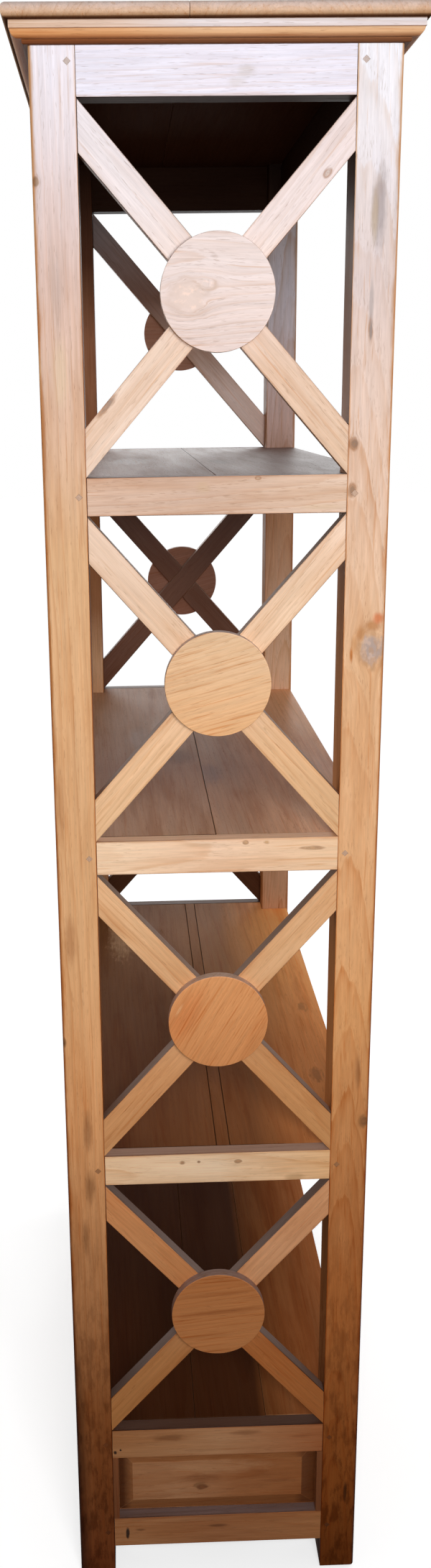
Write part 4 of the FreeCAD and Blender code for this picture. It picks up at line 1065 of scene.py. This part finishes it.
peg_wood, tree, shader = new_material("peg end grain")
here = put(tree, "TexCoord").outputs["Object"]
specks = noise(tree, here, SPECK_WAVES)
tone = graded(tree, put(tree, "SeparateXYZ", {0: here}).outputs["Z"], PEG_TONE)
colour = lay_over(tree, fade(tree, specks, SPECK_LIMITS, (0.0, 0.6)), tone, SPECK_TINT, "MULTIPLY")
bump = put(tree, "Bump", {"Strength": 0.5, "Distance": SPECK_DEPTH, "Height": specks})
feed(tree, shader, {"Base Color": colour, "Roughness": number(tree, "MULTIPLY_ADD", specks, 0.2, 0.5),
                    "Normal": bump.outputs["Normal"], "Specular IOR Level": 0.1})
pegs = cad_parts["pegs"]
pegs.data.materials.clear()
pegs.data.materials.append(peg_wood)


# Floor, light and camera
# A pale studio floor that turns into the white backdrop further out, soft lamps, and the
# eye of a standing person in front of the right end.

WHITE = (1, 1, 1, 1)
BLACK = (0, 0, 0, 1)
FLOOR_SIDE = 40
FLOOR_COLOUR = (0.18, 0.18, 0.18, 1)     # what it throws back onto the bookcase
FLOOR_SEEN = (0.85, 0.85, 0.85, 1)
FLOOR_WAVES = (5, 5, 5)
FLOOR_MOTTLE = (0.97, 1.03)
FLOOR_SWEEP = (1.2, 3.2)                 # metres from the middle, from floor to backdrop
FLOOR_GLOW = (0.62, 1.0)
MIRRORED = 0.35                          # share of the glow that reflections show
ROOM_GLOW = 0.16

floor_material, tree, shader = new_material("studio floor")
bpy.ops.object.select_all(action="DESELECT")
bpy.ops.mesh.primitive_plane_add(size=FLOOR_SIDE, location=(0, 0, 0))
floor = bpy.context.object
floor.name = "floor"
floor.data.materials.append(floor_material)
here = put(tree, "TexCoord").outputs["Object"]
path = put(tree, "LightPath").outputs
seen = number(tree, "MAXIMUM", path["Is Camera Ray"], path["Is Transmission Ray"])
seen = number(tree, "MAXIMUM", seen, times(tree, path["Is Glossy Ray"], MIRRORED))
sweep = fade(tree, length(tree, here), FLOOR_SWEEP)
mottle = fade(tree, noise(tree, here, FLOOR_WAVES, 3.0), (0.0, 1.0), FLOOR_MOTTLE, "LINEAR")
pale = vector(tree, "MULTIPLY", lay_over(tree, path["Is Camera Ray"], FLOOR_COLOUR, FLOOR_SEEN), mottle)
colour = lay_over(tree, times(tree, sweep, seen), pale, BLACK)
glow = fade(tree, sweep, (0.0, 1.0), FLOOR_GLOW, "LINEAR")
feed(tree, shader, {"Base Color": colour, "Roughness": 0.9, "Specular IOR Level": 0.1,
                    "Emission Color": WHITE, "Emission Strength": times(tree, glow, seen)})

world = bpy.data.worlds.new("studio")
bpy.context.scene.world = world
world.use_nodes = True
tree = world.node_tree
path = put(tree, "LightPath").outputs
seen = number(tree, "MAXIMUM", path["Is Glossy Ray"], path["Is Transmission Ray"])
seen = number(tree, "MAXIMUM", path["Is Camera Ray"], seen)
strength = fade(tree, seen, (0.0, 1.0), (ROOM_GLOW, 1.0), "LINEAR")
feed(tree, tree.nodes["Background"], {"Color": WHITE, "Strength": strength})

LAMPS = {                                # place, what it lights, side, power
    "key": ((1.95, 0.12, 1.72), (0.42, 0.0, 1.72), 0.7, 20),
    "front side": ((-0.5, -3.0, 1.9), (0, 0, 1.0), 2.0, 22),
    "back side": ((-0.5, 3.0, 1.9), (0, 0, 1.0), 2.0, 22),
    "far end": ((-3.4, 0.0, 1.9), (0, 0, 1.0), 2.0, 25),
    "above": ((-0.5, 0.0, 3.3), (0, 0, 2.07), 0.6, 8),
}
KEY_SPREAD = math.radians(150)

for name, (place, target, side, power) in LAMPS.items():
    light = bpy.data.lights.new(name, "AREA")
    light.size = side
    light.energy = power
    holder = bpy.data.objects.new(name, light)
    bpy.context.scene.collection.objects.link(holder)
    holder.location = place
    holder.rotation_euler = (Vector(target) - Vector(place)).to_track_quat("-Z", "Y").to_euler()
bpy.data.lights["key"].spread = KEY_SPREAD

FRAME_WIDE, FRAME_HIGH = 600, 2182       # the photograph's pixels
FOCUS = 1686.34                          # focal length in those pixels
LENS_MIDDLE = (215.3, 986.66)            # where the lens axis meets the picture
SENSOR = 36
EYE = (1.829, -0.111, 1.6699)
EYE_TURN = (75.672, 0.7654, 88.3603)     # degrees

camera_data = bpy.data.cameras.new("camera")
camera = bpy.data.objects.new("camera", camera_data)
bpy.context.scene.collection.objects.link(camera)
bpy.context.scene.camera = camera
camera.location = EYE
camera.rotation_euler = [math.radians(angle) for angle in EYE_TURN]
camera_data.sensor_width = SENSOR
camera_data.lens = FOCUS * SENSOR / FRAME_HIGH
camera_data.shift_x = (FRAME_WIDE / 2 - LENS_MIDDLE[0]) / FRAME_HIGH
camera_data.shift_y = (LENS_MIDDLE[1] - FRAME_HIGH / 2) / FRAME_HIGH
bpy.context.scene.view_settings.view_transform = "Standard"
